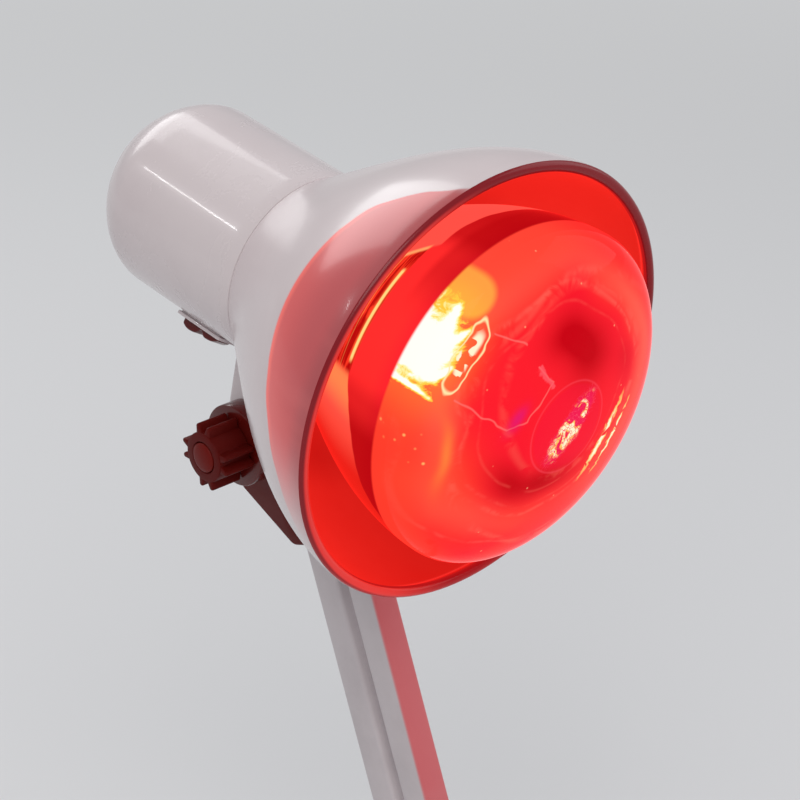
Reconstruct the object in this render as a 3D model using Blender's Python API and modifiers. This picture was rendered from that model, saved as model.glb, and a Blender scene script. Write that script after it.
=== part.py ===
# Infrared heat lamp: a bell shade and red reflector bulb on a parallel two-bar swing arm
# and a weighted round base. Metres, +Z up, the beam goes towards -Y, origin under the base.
import math

import bmesh
import bpy
from mathutils import Matrix, Vector

# Pose of the lamp at rest
HEAD_PITCH = math.radians(8.0)      # the beam points this far below level
ARM_LEAN = math.radians(21.2)       # the arm's top leans back
BULB_LEAN = math.radians(1.7)       # the bulb sits a little askew in its holder

# Gaps
SEAT_GAP = 0.0003                   # between pieces that rest on each other
RUN_GAP = 0.0003                    # round a pin or shaft in its hole
OVERRUN = 0.002                     # how far a cutter passes a face
WELD = 0.00001                      # points closer than this are one

# Bell shade, along the lamp's axis from the plane of its rim
SHADE_DEPTH = 0.093
SHADE_RIM_R = 0.0829
SHADE_WALL = 0.0022
SHADE_LIP_R = 0.0021
SHADE_BULGE_SHARES = (1.247, 0.436, -0.683)     # cubic of the bell from neck to rim
SPIGOT_LENGTH = 0.008
FLOOR_THICKNESS = 0.002
FLOOR_HOLE_R = 0.0225
POST_R = 0.004
POST_LENGTH = 0.015

# Rear housing
HOUSING_WALL = 0.0022
HOUSING_STRAIGHT = 0.0660
DOME_DEPTH = 0.031
DOME_POWER_SHARE = 1.21

# Lamp holder
PLATE_THICKNESS = 0.0015
PLATE_EAR_R = 0.006
PLATE_MARGIN = 0.0008               # beyond the holder's body
NECK_PLAY = 0.0009                  # round the bulb's neck in the plate
EAR_PLAY = 0.0016                   # from the plate's ears to the housing
HOLDER_WALL = 0.0053
HOLDER_PLAY = 0.0035                # from the holder's body to the plate screws' heads
HOLDER_LENGTH = 0.042
HOLDER_FLOOR = 0.008
SHELL_WALL = 0.0008
SHELL_FLANGE_R = 0.008
THREAD_DEPTH = 0.0006
THREAD_PITCH = 0.0036
HOLDER_CONTACT_R = 0.004
HOLDER_CONTACT_RISE = 0.0018

# Bulb, along its own axis from the middle of its screw cap
CAP_R = 0.0131
CAP_LENGTH = 0.025
CAP_WALL = 0.0006
CAP_PLAY = 0.0006                   # beside the cap in the holder's shell
BULB_R = 0.0625
BULB_FACE = 0.0241                  # from the widest circle to the front
BULB_WIDEST = 0.1437                # from the cap's middle to the widest circle
BULB_NECK_R = 0.0148
BULB_NECK_LENGTH = 0.022
BULB_FLARE_POWER_SHARE = 1.2
BULB_WALL = 0.0010
BULB_SPIGOT = 0.006
INSULATOR_LENGTH = 0.0025
INSULATOR_R = 0.0095
TIP_LENGTH = 0.0015
TIP_R = 0.0045
STEM_R = 0.0045
STEM_LENGTH = 0.062
WIRE_R = 0.0006
WIRE_ROOT = 0.002
WIRE_SPREAD = 0.011
FILAMENT_R = 0.0011
FILAMENT_PLACE = 0.106              # from the cap's middle

# Rocker switch beside the fork
SWITCH_SIDE = 0.0064                # from the fork's outer face to the switch's middle
SWITCH_BACK = 0.0298                # behind the shade's neck
SWITCH_LENGTH = 0.0245
SWITCH_WIDTH = 0.0125
SWITCH_FLANGE = 0.0012
SWITCH_BODY_DEPTH = 0.010
SWITCH_EDGE = 0.0012                # flange beyond the body on each side
SWITCH_WALL = 0.0010
ROCKER_LIFT = 0.0028
ROCKER_DIP = 0.0011
ROCKER_PLAY = 0.0004
ROCKER_SKIRT = 0.0012               # below the pivot at the ends
ROCKER_KEEL = 0.0028                # below the pivot in the middle
ROCKER_PIVOT = 0.0006               # above the housing's surface
ROCKER_TILT = math.radians(5.0)     # each side of level, rear end up when on

# Tilt joint under the head
PIVOT_BACK = 0.0088                 # behind the shade's neck
PIVOT_DROP = 0.072                  # below the lamp's axis
LUG_R = 0.014
LUG_HALF = 0.0084                   # half the knuckle's thickness
WASHER_R = 0.0095
WASHER_THICKNESS = 0.001
FORK_PLATE = 0.0032
FORK_HUB_R = 0.0155
FORK_HUB_LENGTH = 0.0085
FORK_EDGE_R = 0.0010
SADDLE_LENGTH = 0.0175
SADDLE_DEPTH = 0.0042
SADDLE_BACK = 0.0205                # the saddle's rear edge behind the shade's neck
FORK_SCREW_SIDE = 0.007             # each fork screw from the middle plane
BOLT_R = 0.003
BOLT_HEAD_R = 0.0065
BOLT_HEAD_LENGTH = 0.003

# Star knobs: four lobes, each with two ribs
KNOB_CORE_R = 0.0098
KNOB_TIP_R = 0.0132
KNOB_LENGTH = 0.0132
KNOB_EDGE_R = 0.0008
KNOB_CAP_R = 0.0058
KNOB_CAP_RECESS = 0.0015
KNOB_CAP_LIFT = 0.0011
KNOB_THREAD_DEPTH = 0.009
KNOB_LOBES = 4
KNOB_PHASE = math.radians(10.0)
RIB_OFFSET = math.radians(14.0)     # from a lobe's middle to each of its ribs
RIB_HALF_TOP = math.radians(4.0)
RIB_HALF_FOOT = math.radians(9.0)

# Arm: two parallel rectangular tubes
BAR_REACH = 0.260                   # between the pins
BAR_DEPTH = 0.0143
BAR_THICKNESS = 0.0112
BAR_WALL = 0.0012
BAR_CORNER_R = 0.0016
BAR_PITCH = 0.0197                  # between the bars' centre lines at rest
BAR_SWING = math.radians(38.0)      # each way from rest
PLUG_NECK = 0.0085                  # from the pin to the tube's end
PLUG_TONGUE = 0.014
PIN_R = 0.0025
PIN_HEAD_R = 0.0045
PIN_HEAD_LENGTH = 0.0012
CHEEK_GAP = 0.0004                  # between a bar and the cheek beside it
CAVITY_GAP = 0.0010                 # round the bars' ends, inside knuckle and yoke

# Knuckle, measured from its rear pin
KNUCKLE_BACK = 0.0232               # to the tilt pivot
KNUCKLE_RISE = 0.0276
KNUCKLE_HEEL_BACK = 0.0328          # to the middle of the rear lower corner
KNUCKLE_HEEL_RISE = 0.0042
KNUCKLE_CORNER_R = 0.005
KNUCKLE_LIP = 0.0100                # beyond the pins, down the bars
KNUCKLE_SHOULDER = 0.0040           # beyond the bars' outer edges
KNUCKLE_EDGE_R = 0.0012
EYE_R = 0.0098

# Yoke and swivel
YOKE_RISE = 0.031                   # from the yoke's foot to the middle of its pins
YOKE_HALF_LENGTH = 0.019
YOKE_FOOT_R = 0.023
YOKE_FOOT_THICKNESS = 0.004
SPINDLE_R = 0.007
SPINDLE_BORE_R = 0.0042
SPINDLE_LENGTH = 0.012
SPINDLE_SEAT = 0.003
NUT_R = 0.011
NUT_THICKNESS = 0.004

# Base
BASE_R = 0.115
BASE_HEIGHT = 0.026
BASE_EDGE_R = 0.010
BASE_WALL = 0.003
BASE_BOSS_R = 0.028
BASE_BOSS_RISE = 0.003
BASE_PLATE_THICKNESS = 0.002
WEIGHT_INSET = 0.017                # inside the base's edge
WEIGHT_HOLE_R = 0.020
WEIGHT_THICKNESS = 0.014
PAD_INSET = 0.019                   # inside the base's edge
PAD_THICKNESS = 0.003
PAD_EDGE = 0.001
SCREW_R = 0.0015
SCREW_HEAD_R = 0.003
SCREW_HEAD_LENGTH = 0.0018
SCREW_LENGTH = 0.009
BASE_SCREW_INSET = 0.011            # inside the base's edge
BASE_POST_R = 0.0042
INLET_R = 0.0052
INLET_BORE_R = 0.0033
INLET_FLANGE_R = 0.0072
INLET_FLANGE_THICKNESS = 0.0015
INLET_LENGTH = 0.009
INLET_RISE = 0.0085                 # above the cover's lower edge

# Facets round a full turn
FINE_STEPS = 36
MEDIUM_STEPS = 24
COARSE_STEPS = 12
FLAT_ANGLE = math.radians(0.5)      # faces that turn less than this are one face

# Outlines are drawn in local x and y and given their depth in local z
ARM_PLANE = Matrix(((0, 0, -1), (-1, 0, 0), (0, 1, 0)))     # x forward (-Y), y up, depth across
HEAD_PLANE = Matrix(((0, 0, -1), (0, 1, 0), (1, 0, 0)))     # x along the beam, y up, depth across
ACROSS = Matrix(((0, 0, -1), (0, 1, 0), (1, 0, 0)))         # local z to -X


# Scene and placing

def start_scene():
    for obj in list(bpy.data.objects):
        bpy.data.objects.remove(obj, do_unlink=True)
    groups = {}
    for name in ("infrared_heat_lamp", "cutters"):
        groups[name] = bpy.data.collections.new(name)
        bpy.context.scene.collection.children.link(groups[name])
    return groups["infrared_heat_lamp"], groups["cutters"]


PARTS, CUTTERS = start_scene()


def make_material(name, colour, roughness, metallic=0.0, alpha=1.0):
    mat = bpy.data.materials.new(name)
    mat.use_nodes = True
    shader = mat.node_tree.nodes["Principled BSDF"]
    shader.inputs["Base Color"].default_value = (*colour, 1.0)
    shader.inputs["Roughness"].default_value = roughness
    shader.inputs["Metallic"].default_value = metallic
    shader.inputs["Alpha"].default_value = alpha
    mat.diffuse_color = (*colour, alpha)
    return mat


def place(obj, group, parent=None, at=(0, 0, 0), turn=None):
    group.objects.link(obj)
    obj.parent = parent
    obj.location = at
    if turn is not None:
        obj.rotation_euler = turn.to_euler() if isinstance(turn, Matrix) else turn
    return obj


def make_frame(name, world_at, world_turn=(0, 0, 0), parent=None):
    """An empty on a joint's axis, placed in world terms and hung on its parent."""
    empty = place(bpy.data.objects.new(name, None), PARTS, None, world_at, world_turn)
    if parent is not None:
        bpy.context.view_layer.update()
        empty.parent = parent
        empty.matrix_parent_inverse = parent.matrix_world.inverted()
    bpy.context.view_layer.update()
    return empty


def finish_part(obj, mat):
    obj.data.materials.append(mat)
    obj.data.shade_smooth()
    obj.data.set_sharp_from_angle(angle=math.radians(35))
    return obj


# Shapes

def turned(name, profile, steps, closed=False):
    """A profile of (radius, height) points turned about local Z."""
    mesh = bpy.data.meshes.new(name)
    edges = [(i, i + 1) for i in range(len(profile) - 1)]
    if closed:
        edges.append((len(profile) - 1, 0))
    mesh.from_pydata([(r, 0, z) for r, z in profile], edges, [])
    obj = bpy.data.objects.new(name, mesh)
    screw = obj.modifiers.new("turn", "SCREW")
    screw.steps = steps
    screw.render_steps = steps
    screw.use_merge_vertices = True
    screw.merge_threshold = WELD
    screw.use_smooth_shade = True
    screw.use_normal_calculate = False
    return obj


def give_wall(obj, thickness):
    wall = obj.modifiers.new("wall", "SOLIDIFY")
    wall.thickness = thickness
    wall.offset = -1
    wall.use_even_offset = True
    return obj


def round_edges(obj, width, segments=2, angle=40):
    bevel = obj.modifiers.new("edges", "BEVEL")
    bevel.width = width
    bevel.segments = segments
    bevel.limit_method = "ANGLE"
    bevel.angle_limit = math.radians(angle)
    return obj


def cylinder(name, radius, length, steps=COARSE_STEPS):
    mesh = bpy.data.meshes.new(name)
    bm = bmesh.new()
    bmesh.ops.create_cone(bm, cap_ends=True, segments=steps, radius1=radius, radius2=radius, depth=length)
    bm.to_mesh(mesh)
    bm.free()
    return bpy.data.objects.new(name, mesh)


def block(name, size):
    mesh = bpy.data.meshes.new(name)
    bm = bmesh.new()
    bmesh.ops.create_cube(bm, size=1)
    bmesh.ops.scale(bm, vec=size, verts=bm.verts)
    bm.to_mesh(mesh)
    bm.free()
    return bpy.data.objects.new(name, mesh)


def curve_to_mesh(name, curve, flat_caps=False):
    """Mesh of a curve object, with its caps welded on."""
    draft = bpy.data.objects.new(name + "_curve", curve)
    CUTTERS.objects.link(draft)
    bpy.context.view_layer.update()
    mesh = bpy.data.meshes.new_from_object(draft.evaluated_get(bpy.context.evaluated_depsgraph_get()))
    bpy.data.objects.remove(draft, do_unlink=True)
    bm = bmesh.new()
    bm.from_mesh(mesh)
    bmesh.ops.remove_doubles(bm, verts=bm.verts, dist=WELD)
    if flat_caps:
        inner = [edge for edge in bm.edges if edge.calc_face_angle(math.pi) < FLAT_ANGLE]
        bmesh.ops.dissolve_edges(bm, edges=inner, use_verts=False)
    bm.to_mesh(mesh)
    bm.free()
    mesh.name = name
    return bpy.data.objects.new(name, mesh)


def flat(name, outlines, depth):
    """Closed outlines filled in local x and y, given a depth in local z about the middle."""
    curve = bpy.data.curves.new(name, "CURVE")
    curve.dimensions = "2D"
    curve.fill_mode = "BOTH"
    curve.extrude = depth / 2
    for points in outlines:
        spline = curve.splines.new("POLY")
        spline.points.add(len(points) - 1)
        for point, (x, y) in zip(spline.points, points):
            point.co = (x, y, 0, 1)
        spline.use_cyclic_u = True
    return curve_to_mesh(name, curve, flat_caps=len(outlines) == 1)


def tube(name, points, radius, sides_level=1):
    """A round wire through points."""
    curve = bpy.data.curves.new(name, "CURVE")
    curve.dimensions = "3D"
    curve.bevel_depth = radius
    curve.bevel_resolution = sides_level
    curve.use_fill_caps = True
    spline = curve.splines.new("POLY")
    spline.points.add(len(points) - 1)
    for point, co in zip(spline.points, points):
        point.co = (*co, 1)
    return curve_to_mesh(name, curve)


def circle_points(centre, radius, steps, start=0.0, sweep=2 * math.pi):
    """Points on an arc, both ends included unless it is a full turn."""
    count = steps if sweep == 2 * math.pi else steps + 1
    return [
        (
            centre[0] + radius * math.cos(start + sweep * i / steps),
            centre[1] + radius * math.sin(start + sweep * i / steps),
        )
        for i in range(count)
    ]


def hull_of_circles(circles, steps=MEDIUM_STEPS):
    """Outline of the belt stretched round circles of (x, y, radius)."""
    cloud = set()
    for x, y, radius in circles:
        for px, py in circle_points((x, y), radius, steps):
            cloud.add((round(px, 7), round(py, 7)))
    cloud = sorted(cloud)

    def half(points):
        chain = []
        for p in points:
            while len(chain) > 1:
                a, b = chain[-2], chain[-1]
                if (b[0] - a[0]) * (p[1] - a[1]) - (b[1] - a[1]) * (p[0] - a[0]) > 0:
                    break
                chain.pop()
            chain.append(p)
        return chain[:-1]

    return half(cloud) + half(cloud[::-1])


def rounded_box_outline(width, height, radius, steps=3):
    points = []
    for k, (sx, sy) in enumerate(((1, 1), (-1, 1), (-1, -1), (1, -1))):
        centre = (sx * (width / 2 - radius), sy * (height / 2 - radius))
        points += circle_points(centre, radius, steps, k * math.pi / 2, math.pi / 2)
    return points


def combine(target, tool, operation, parent=None, at=(0, 0, 0), turn=None):
    """Cut with, or add, a tool placed in the same frame as the target."""
    place(tool, CUTTERS, parent, at, turn)
    tool.hide_render = True
    tool.display_type = "WIRE"
    step = target.modifiers.new(tool.name, "BOOLEAN")
    step.operation = operation
    step.solver = "EXACT"
    step.object = tool
    return target


# Sizes that follow from what fits inside what

SHELL_R = CAP_R + CAP_PLAY + THREAD_DEPTH + SHELL_WALL
HOLDER_R = SHELL_R + SEAT_GAP + HOLDER_WALL
HOLDER_SCREW_REACH = SHELL_R + SEAT_GAP + HOLDER_WALL / 2
PLATE_R = HOLDER_R + PLATE_MARGIN
PLATE_HOLE_R = BULB_NECK_R + NECK_PLAY
POST_REACH = HOLDER_R + HOLDER_PLAY + SCREW_HEAD_R
HOUSING_R = POST_REACH + PLATE_EAR_R + EAR_PLAY + HOUSING_WALL
SPIGOT_R = HOUSING_R - HOUSING_WALL - SEAT_GAP
PLATE_INNER_X = LUG_HALF + WASHER_THICKNESS + 2 * SEAT_GAP
FORK_OUTER_X = PLATE_INNER_X + FORK_PLATE
HUB_END_X = FORK_OUTER_X + FORK_HUB_LENGTH
SWITCH_ANGLE = math.asin((FORK_OUTER_X + SWITCH_SIDE) / HOUSING_R)      # from the housing's lowest line
WEIGHT_R = BASE_R - WEIGHT_INSET
PAD_R = BASE_R - PAD_INSET
BASE_SCREW_REACH = BASE_R - BASE_SCREW_INSET


# Places in the arm's plane, as (forward, up)

def bar_direction(lean):
    """Up along a bar that leans back."""
    return Vector((-math.sin(lean), math.cos(lean)))


def spot(point, x=0.0):
    """World place of a point in the arm's plane."""
    return Vector((x, -point[0], point[1]))


PIN_LINE = Vector((math.cos(ARM_LEAN), math.sin(ARM_LEAN)))     # from a rear pin to its front pin
BASE_TOP = PAD_THICKNESS + BASE_HEIGHT + BASE_BOSS_RISE
YOKE_FOOT = BASE_TOP + SEAT_GAP
LOWER_MIDDLE = Vector((0, YOKE_FOOT + YOKE_RISE))
LOWER_REAR = LOWER_MIDDLE - PIN_LINE * BAR_PITCH / 2
LOWER_FRONT = LOWER_MIDDLE + PIN_LINE * BAR_PITCH / 2
UPPER_REAR = LOWER_REAR + bar_direction(ARM_LEAN) * BAR_REACH
UPPER_FRONT = LOWER_FRONT + bar_direction(ARM_LEAN) * BAR_REACH
TILT_PIVOT = UPPER_REAR + Vector((-KNUCKLE_BACK, KNUCKLE_RISE))

HEAD_TURN = (math.pi / 2 + HEAD_PITCH, 0, 0)        # local Z along the beam, local Y up
BAR_TURN = (-ARM_LEAN, 0, 0)                        # local Z up along the bar

# Places along the lamp's axis, from the rim's plane
NECK_Z = -SHADE_DEPTH
FLOOR_Z = NECK_Z - SPIGOT_LENGTH
POST_Z = FLOOR_Z - POST_LENGTH
PLATE_Z = POST_Z - SEAT_GAP
HOLDER_Z = PLATE_Z - PLATE_THICKNESS - SEAT_GAP
HOLDER_FLOOR_Z = HOLDER_Z - HOLDER_LENGTH + HOLDER_FLOOR
CONTACT_Z = HOLDER_FLOOR_Z + SEAT_GAP + HOLDER_CONTACT_RISE
CAP_END_Z = CONTACT_Z + SEAT_GAP + TIP_LENGTH + SEAT_GAP + INSULATOR_LENGTH + SEAT_GAP
CAP_MIDDLE_Z = CAP_END_Z + CAP_LENGTH / 2
HOUSING_END_Z = NECK_Z - SEAT_GAP - HOUSING_STRAIGHT - DOME_DEPTH
PIVOT_Z = NECK_Z - PIVOT_BACK
SADDLE_Z = NECK_Z - SADDLE_BACK


def make_materials():
    return {
        "white": make_material("white_gloss_plastic", (0.80, 0.77, 0.76), 0.28),
        "shade": make_material("opal_shade_plastic", (0.82, 0.79, 0.78), 0.25),
        "maroon": make_material("dark_red_plastic", (0.19, 0.022, 0.018), 0.38),
        "cap": make_material("knob_cap_plastic", (0.26, 0.040, 0.018), 0.42),
        "bars": make_material("pale_painted_steel", (0.66, 0.64, 0.64), 0.42),
        "steel": make_material("plated_steel", (0.62, 0.62, 0.63), 0.28, 1.0),
        "brass": make_material("brass", (0.78, 0.58, 0.28), 0.32, 1.0),
        "iron": make_material("cast_iron", (0.10, 0.10, 0.11), 0.75, 0.6),
        "porcelain": make_material("glazed_porcelain", (0.84, 0.83, 0.79), 0.18),
        "glass": make_material("red_glass", (0.72, 0.02, 0.02), 0.05, 0.0, 0.45),
        "clear": make_material("clear_glass", (0.85, 0.86, 0.86), 0.05, 0.0, 0.4),
        "black": make_material("black_insulator", (0.02, 0.02, 0.022), 0.35),
        "tungsten": make_material("tungsten", (0.75, 0.55, 0.30), 0.5, 1.0),
        "rubber": make_material("black_rubber", (0.03, 0.03, 0.03), 0.85),
        "nylon": make_material("grey_nylon", (0.20, 0.19, 0.20), 0.6),
    }


# Head: shade and housing

def bell_radius(share):
    """Outer radius of the bell, from its neck (0) to its rim (1)."""
    a, b, c = SHADE_BULGE_SHARES
    return HOUSING_R + (SHADE_RIM_R - HOUSING_R) * (a * share + b * share ** 2 + c * share ** 3)


def bell_slope(share):
    a, b, c = SHADE_BULGE_SHARES
    return (SHADE_RIM_R - HOUSING_R) * (a + 2 * b * share + 3 * c * share ** 2) / SHADE_DEPTH


def shade_profile():
    bell_steps = 7
    top_share = 1 - SHADE_LIP_R / SHADE_DEPTH
    shares = [top_share * (1 - i / bell_steps) for i in range(bell_steps + 1)]
    lip = (SHADE_RIM_R - SHADE_LIP_R, -SHADE_LIP_R / 2)
    profile = circle_points(lip, SHADE_LIP_R, 4, math.pi, -math.pi)
    profile += [(bell_radius(s), NECK_Z * (1 - s)) for s in shares[1:]]
    inner_spigot = SPIGOT_R - SHADE_WALL
    profile += [
        (SPIGOT_R, NECK_Z),
        (SPIGOT_R, FLOOR_Z),
        (FLOOR_HOLE_R, FLOOR_Z),
        (FLOOR_HOLE_R, FLOOR_Z + FLOOR_THICKNESS),
        (inner_spigot, FLOOR_Z + FLOOR_THICKNESS),
    ]
    for s in reversed(shares[1:]):
        slope = bell_slope(s)
        length = math.hypot(1, slope)
        profile.append((bell_radius(s) - SHADE_WALL / length, NECK_Z * (1 - s) + SHADE_WALL * slope / length))
    return profile


def make_shade(lamp, mats):
    shade = turned("lamp_shade", shade_profile(), FINE_STEPS, closed=True)
    place(shade, PARTS, lamp)
    post_length = POST_LENGTH + FLOOR_THICKNESS / 2
    for side in (-1, 1):
        post = cylinder("shade_post", POST_R, post_length)
        at = (side * POST_REACH, 0, POST_Z + post_length / 2)
        combine(shade, post, "UNION", lamp, at)
    for side in (-1, 1):
        pilot = cylinder("shade_pilot", SCREW_R + RUN_GAP, SCREW_LENGTH + OVERRUN)
        at = (side * POST_REACH, 0, POST_Z + SCREW_LENGTH / 2)
        combine(shade, pilot, "DIFFERENCE", lamp, at)
    finish_part(shade, mats["shade"])


def switch_turn():
    """Local X along the beam, local Z straight out of the housing at the switch."""
    out = Vector((-math.sin(SWITCH_ANGLE), -math.cos(SWITCH_ANGLE), 0))
    along = Vector((0, 0, 1))
    side = out.cross(along)
    return Matrix((along, side, out)).transposed()


def switch_origin(height=0.0):
    reach = HOUSING_R + height
    return (-math.sin(SWITCH_ANGLE) * reach, -math.cos(SWITCH_ANGLE) * reach, NECK_Z - SWITCH_BACK)


def make_housing(lamp, mats):
    front = NECK_Z - SEAT_GAP
    profile = [(HOUSING_R, front), (HOUSING_R, front - HOUSING_STRAIGHT)]
    dome_steps = 5
    for i in range(1, dome_steps):
        angle = math.pi / 2 * i / dome_steps
        radius = HOUSING_R * math.cos(angle) ** DOME_POWER_SHARE
        profile.append((radius, front - HOUSING_STRAIGHT - DOME_DEPTH * math.sin(angle) ** DOME_POWER_SHARE))
    profile.append((0, HOUSING_END_Z))
    housing = give_wall(turned("lamp_housing", profile, FINE_STEPS), HOUSING_WALL)
    place(housing, PARTS, lamp)
    slot = block("switch_slot", (
        SWITCH_LENGTH - 2 * SWITCH_EDGE + 2 * RUN_GAP,
        SWITCH_WIDTH - 2 * SWITCH_EDGE + 2 * RUN_GAP,
        4 * HOUSING_WALL,
    ))
    combine(housing, slot, "DIFFERENCE", lamp, switch_origin(), switch_turn())
    for side in (-1, 1):
        hole = cylinder("fork_screw_hole", SCREW_R + RUN_GAP, 4 * HOUSING_WALL)
        at = (side * FORK_SCREW_SIDE, -HOUSING_R, fork_screw_z())
        combine(housing, hole, "DIFFERENCE", lamp, at, (math.pi / 2, 0, 0))
    finish_part(housing, mats["white"])


# Head: lamp holder

def screw_profile(head_r=SCREW_HEAD_R, head_length=SCREW_HEAD_LENGTH, shank_r=SCREW_R, length=SCREW_LENGTH):
    """Pan head above zero, shank below it."""
    return [
        (0, head_length),
        (head_r * 0.6, head_length),
        (head_r, head_length * 0.45),
        (head_r, 0),
        (shank_r, 0),
        (0, -length),
    ]


def make_screw(name, frame, at, turn, mats, length=SCREW_LENGTH):
    screw = turned(name, screw_profile(length=length), COARSE_STEPS)
    place(screw, PARTS, frame, at, turn)
    finish_part(screw, mats["steel"])


def make_holder(lamp, mats):
    outline = hull_of_circles([
        (0, 0, PLATE_R),
        (-POST_REACH, 0, PLATE_EAR_R),
        (POST_REACH, 0, PLATE_EAR_R),
    ])
    plate = flat("holder_plate", [outline], PLATE_THICKNESS)
    middle = (0, 0, PLATE_Z - PLATE_THICKNESS / 2)
    place(plate, PARTS, lamp, middle)
    neck_hole = cylinder("neck_hole", PLATE_HOLE_R, PLATE_THICKNESS + OVERRUN, MEDIUM_STEPS)
    combine(plate, neck_hole, "DIFFERENCE", lamp, middle)
    holder_profile = [
        (SHELL_R + SEAT_GAP, HOLDER_Z),
        (HOLDER_R, HOLDER_Z),
        (HOLDER_R, HOLDER_Z - HOLDER_LENGTH * 0.62),
        (HOLDER_R * 0.86, HOLDER_Z - HOLDER_LENGTH * 0.70),
        (HOLDER_R * 0.86, HOLDER_Z - HOLDER_LENGTH),
        (0, HOLDER_Z - HOLDER_LENGTH),
        (0, HOLDER_FLOOR_Z),
        (SHELL_R + SEAT_GAP, HOLDER_FLOOR_Z),
    ]
    body = turned("holder_body", holder_profile, MEDIUM_STEPS, closed=True)
    place(body, PARTS, lamp)
    for number, side in ((1, -1), (2, 1)):
        hole = cylinder("plate_screw_hole", SCREW_R + RUN_GAP, PLATE_THICKNESS + OVERRUN)
        at = (side * POST_REACH, 0, PLATE_Z - PLATE_THICKNESS / 2)
        combine(plate, hole, "DIFFERENCE", lamp, at)
        back = PLATE_Z - PLATE_THICKNESS - SEAT_GAP
        make_screw(f"holder_plate_screw_{number}", lamp, (side * POST_REACH, 0, back), (math.pi, 0, 0), mats)
        hole = cylinder("holder_screw_hole", SCREW_R + RUN_GAP, SCREW_LENGTH * 2)
        at = (0, side * HOLDER_SCREW_REACH, HOLDER_Z)
        combine(plate, hole, "DIFFERENCE", lamp, at)
        pocket = cylinder("holder_screw_pocket", SCREW_R + RUN_GAP, SCREW_LENGTH * 2)
        combine(body, pocket, "DIFFERENCE", lamp, at)
        front = PLATE_Z + SEAT_GAP
        make_screw(f"holder_screw_{number}", lamp, (0, side * HOLDER_SCREW_REACH, front), (0, 0, 0), mats)
    finish_part(plate, mats["steel"])
    finish_part(body, mats["porcelain"])
    shell_front = CAP_MIDDLE_Z + CAP_LENGTH / 2 - SEAT_GAP - BULB_NECK_R * math.sin(BULB_LEAN)
    shell_back = HOLDER_FLOOR_Z + SEAT_GAP
    outer = threaded_side(SHELL_R, shell_front, CAP_END_Z)
    profile = outer + [(SHELL_R, shell_back), (SHELL_FLANGE_R, shell_back)]
    shell = give_wall(turned("holder_shell", profile, MEDIUM_STEPS), SHELL_WALL)
    place(shell, PARTS, lamp)
    finish_part(shell, mats["brass"])
    contact = turned("holder_contact", [
        (0, CONTACT_Z),
        (HOLDER_CONTACT_R * 0.6, CONTACT_Z - HOLDER_CONTACT_RISE * 0.15),
        (HOLDER_CONTACT_R, CONTACT_Z - HOLDER_CONTACT_RISE * 0.6),
        (HOLDER_CONTACT_R, CONTACT_Z - HOLDER_CONTACT_RISE),
        (0, CONTACT_Z - HOLDER_CONTACT_RISE),
    ], COARSE_STEPS)
    place(contact, PARTS, lamp)
    finish_part(contact, mats["brass"])


def threaded_side(radius, top, bottom):
    """Waves of a rolled thread down the outside of a thin shell."""
    turns = max(2, int((top - bottom) / THREAD_PITCH))
    pitch = (top - bottom) / turns
    points = [(radius, top)]
    for i in range(turns):
        start = top - i * pitch
        points.append((radius - THREAD_DEPTH, start - pitch * 0.5))
        points.append((radius, start - pitch))
    return points


# Bulb, in a frame whose origin is the middle of its screw cap

def envelope_profile():
    front = BULB_WIDEST + BULB_FACE
    face_steps = 5
    profile = [(0, front)]
    for i in range(1, face_steps + 1):
        angle = math.pi / 2 * (1 - i / face_steps)
        profile.append((BULB_R * math.cos(angle), BULB_WIDEST + BULB_FACE * math.sin(angle)))
    neck_start = CAP_LENGTH / 2 + SEAT_GAP
    neck_end = neck_start + BULB_NECK_LENGTH
    flare_steps = 6
    for i in range(1, flare_steps + 1):
        share = 1 - i / flare_steps
        swell = math.sin(math.pi / 2 * share) ** BULB_FLARE_POWER_SHARE
        radius = BULB_NECK_R + (BULB_R - BULB_NECK_R) * swell
        profile.append((radius, neck_end + (BULB_WIDEST - neck_end) * share))
    spigot_r = CAP_R - THREAD_DEPTH - CAP_WALL - SEAT_GAP
    profile += [
        (BULB_NECK_R, neck_start),
        (spigot_r, neck_start),
        (spigot_r, neck_start - BULB_SPIGOT),
    ]
    return profile


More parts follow.
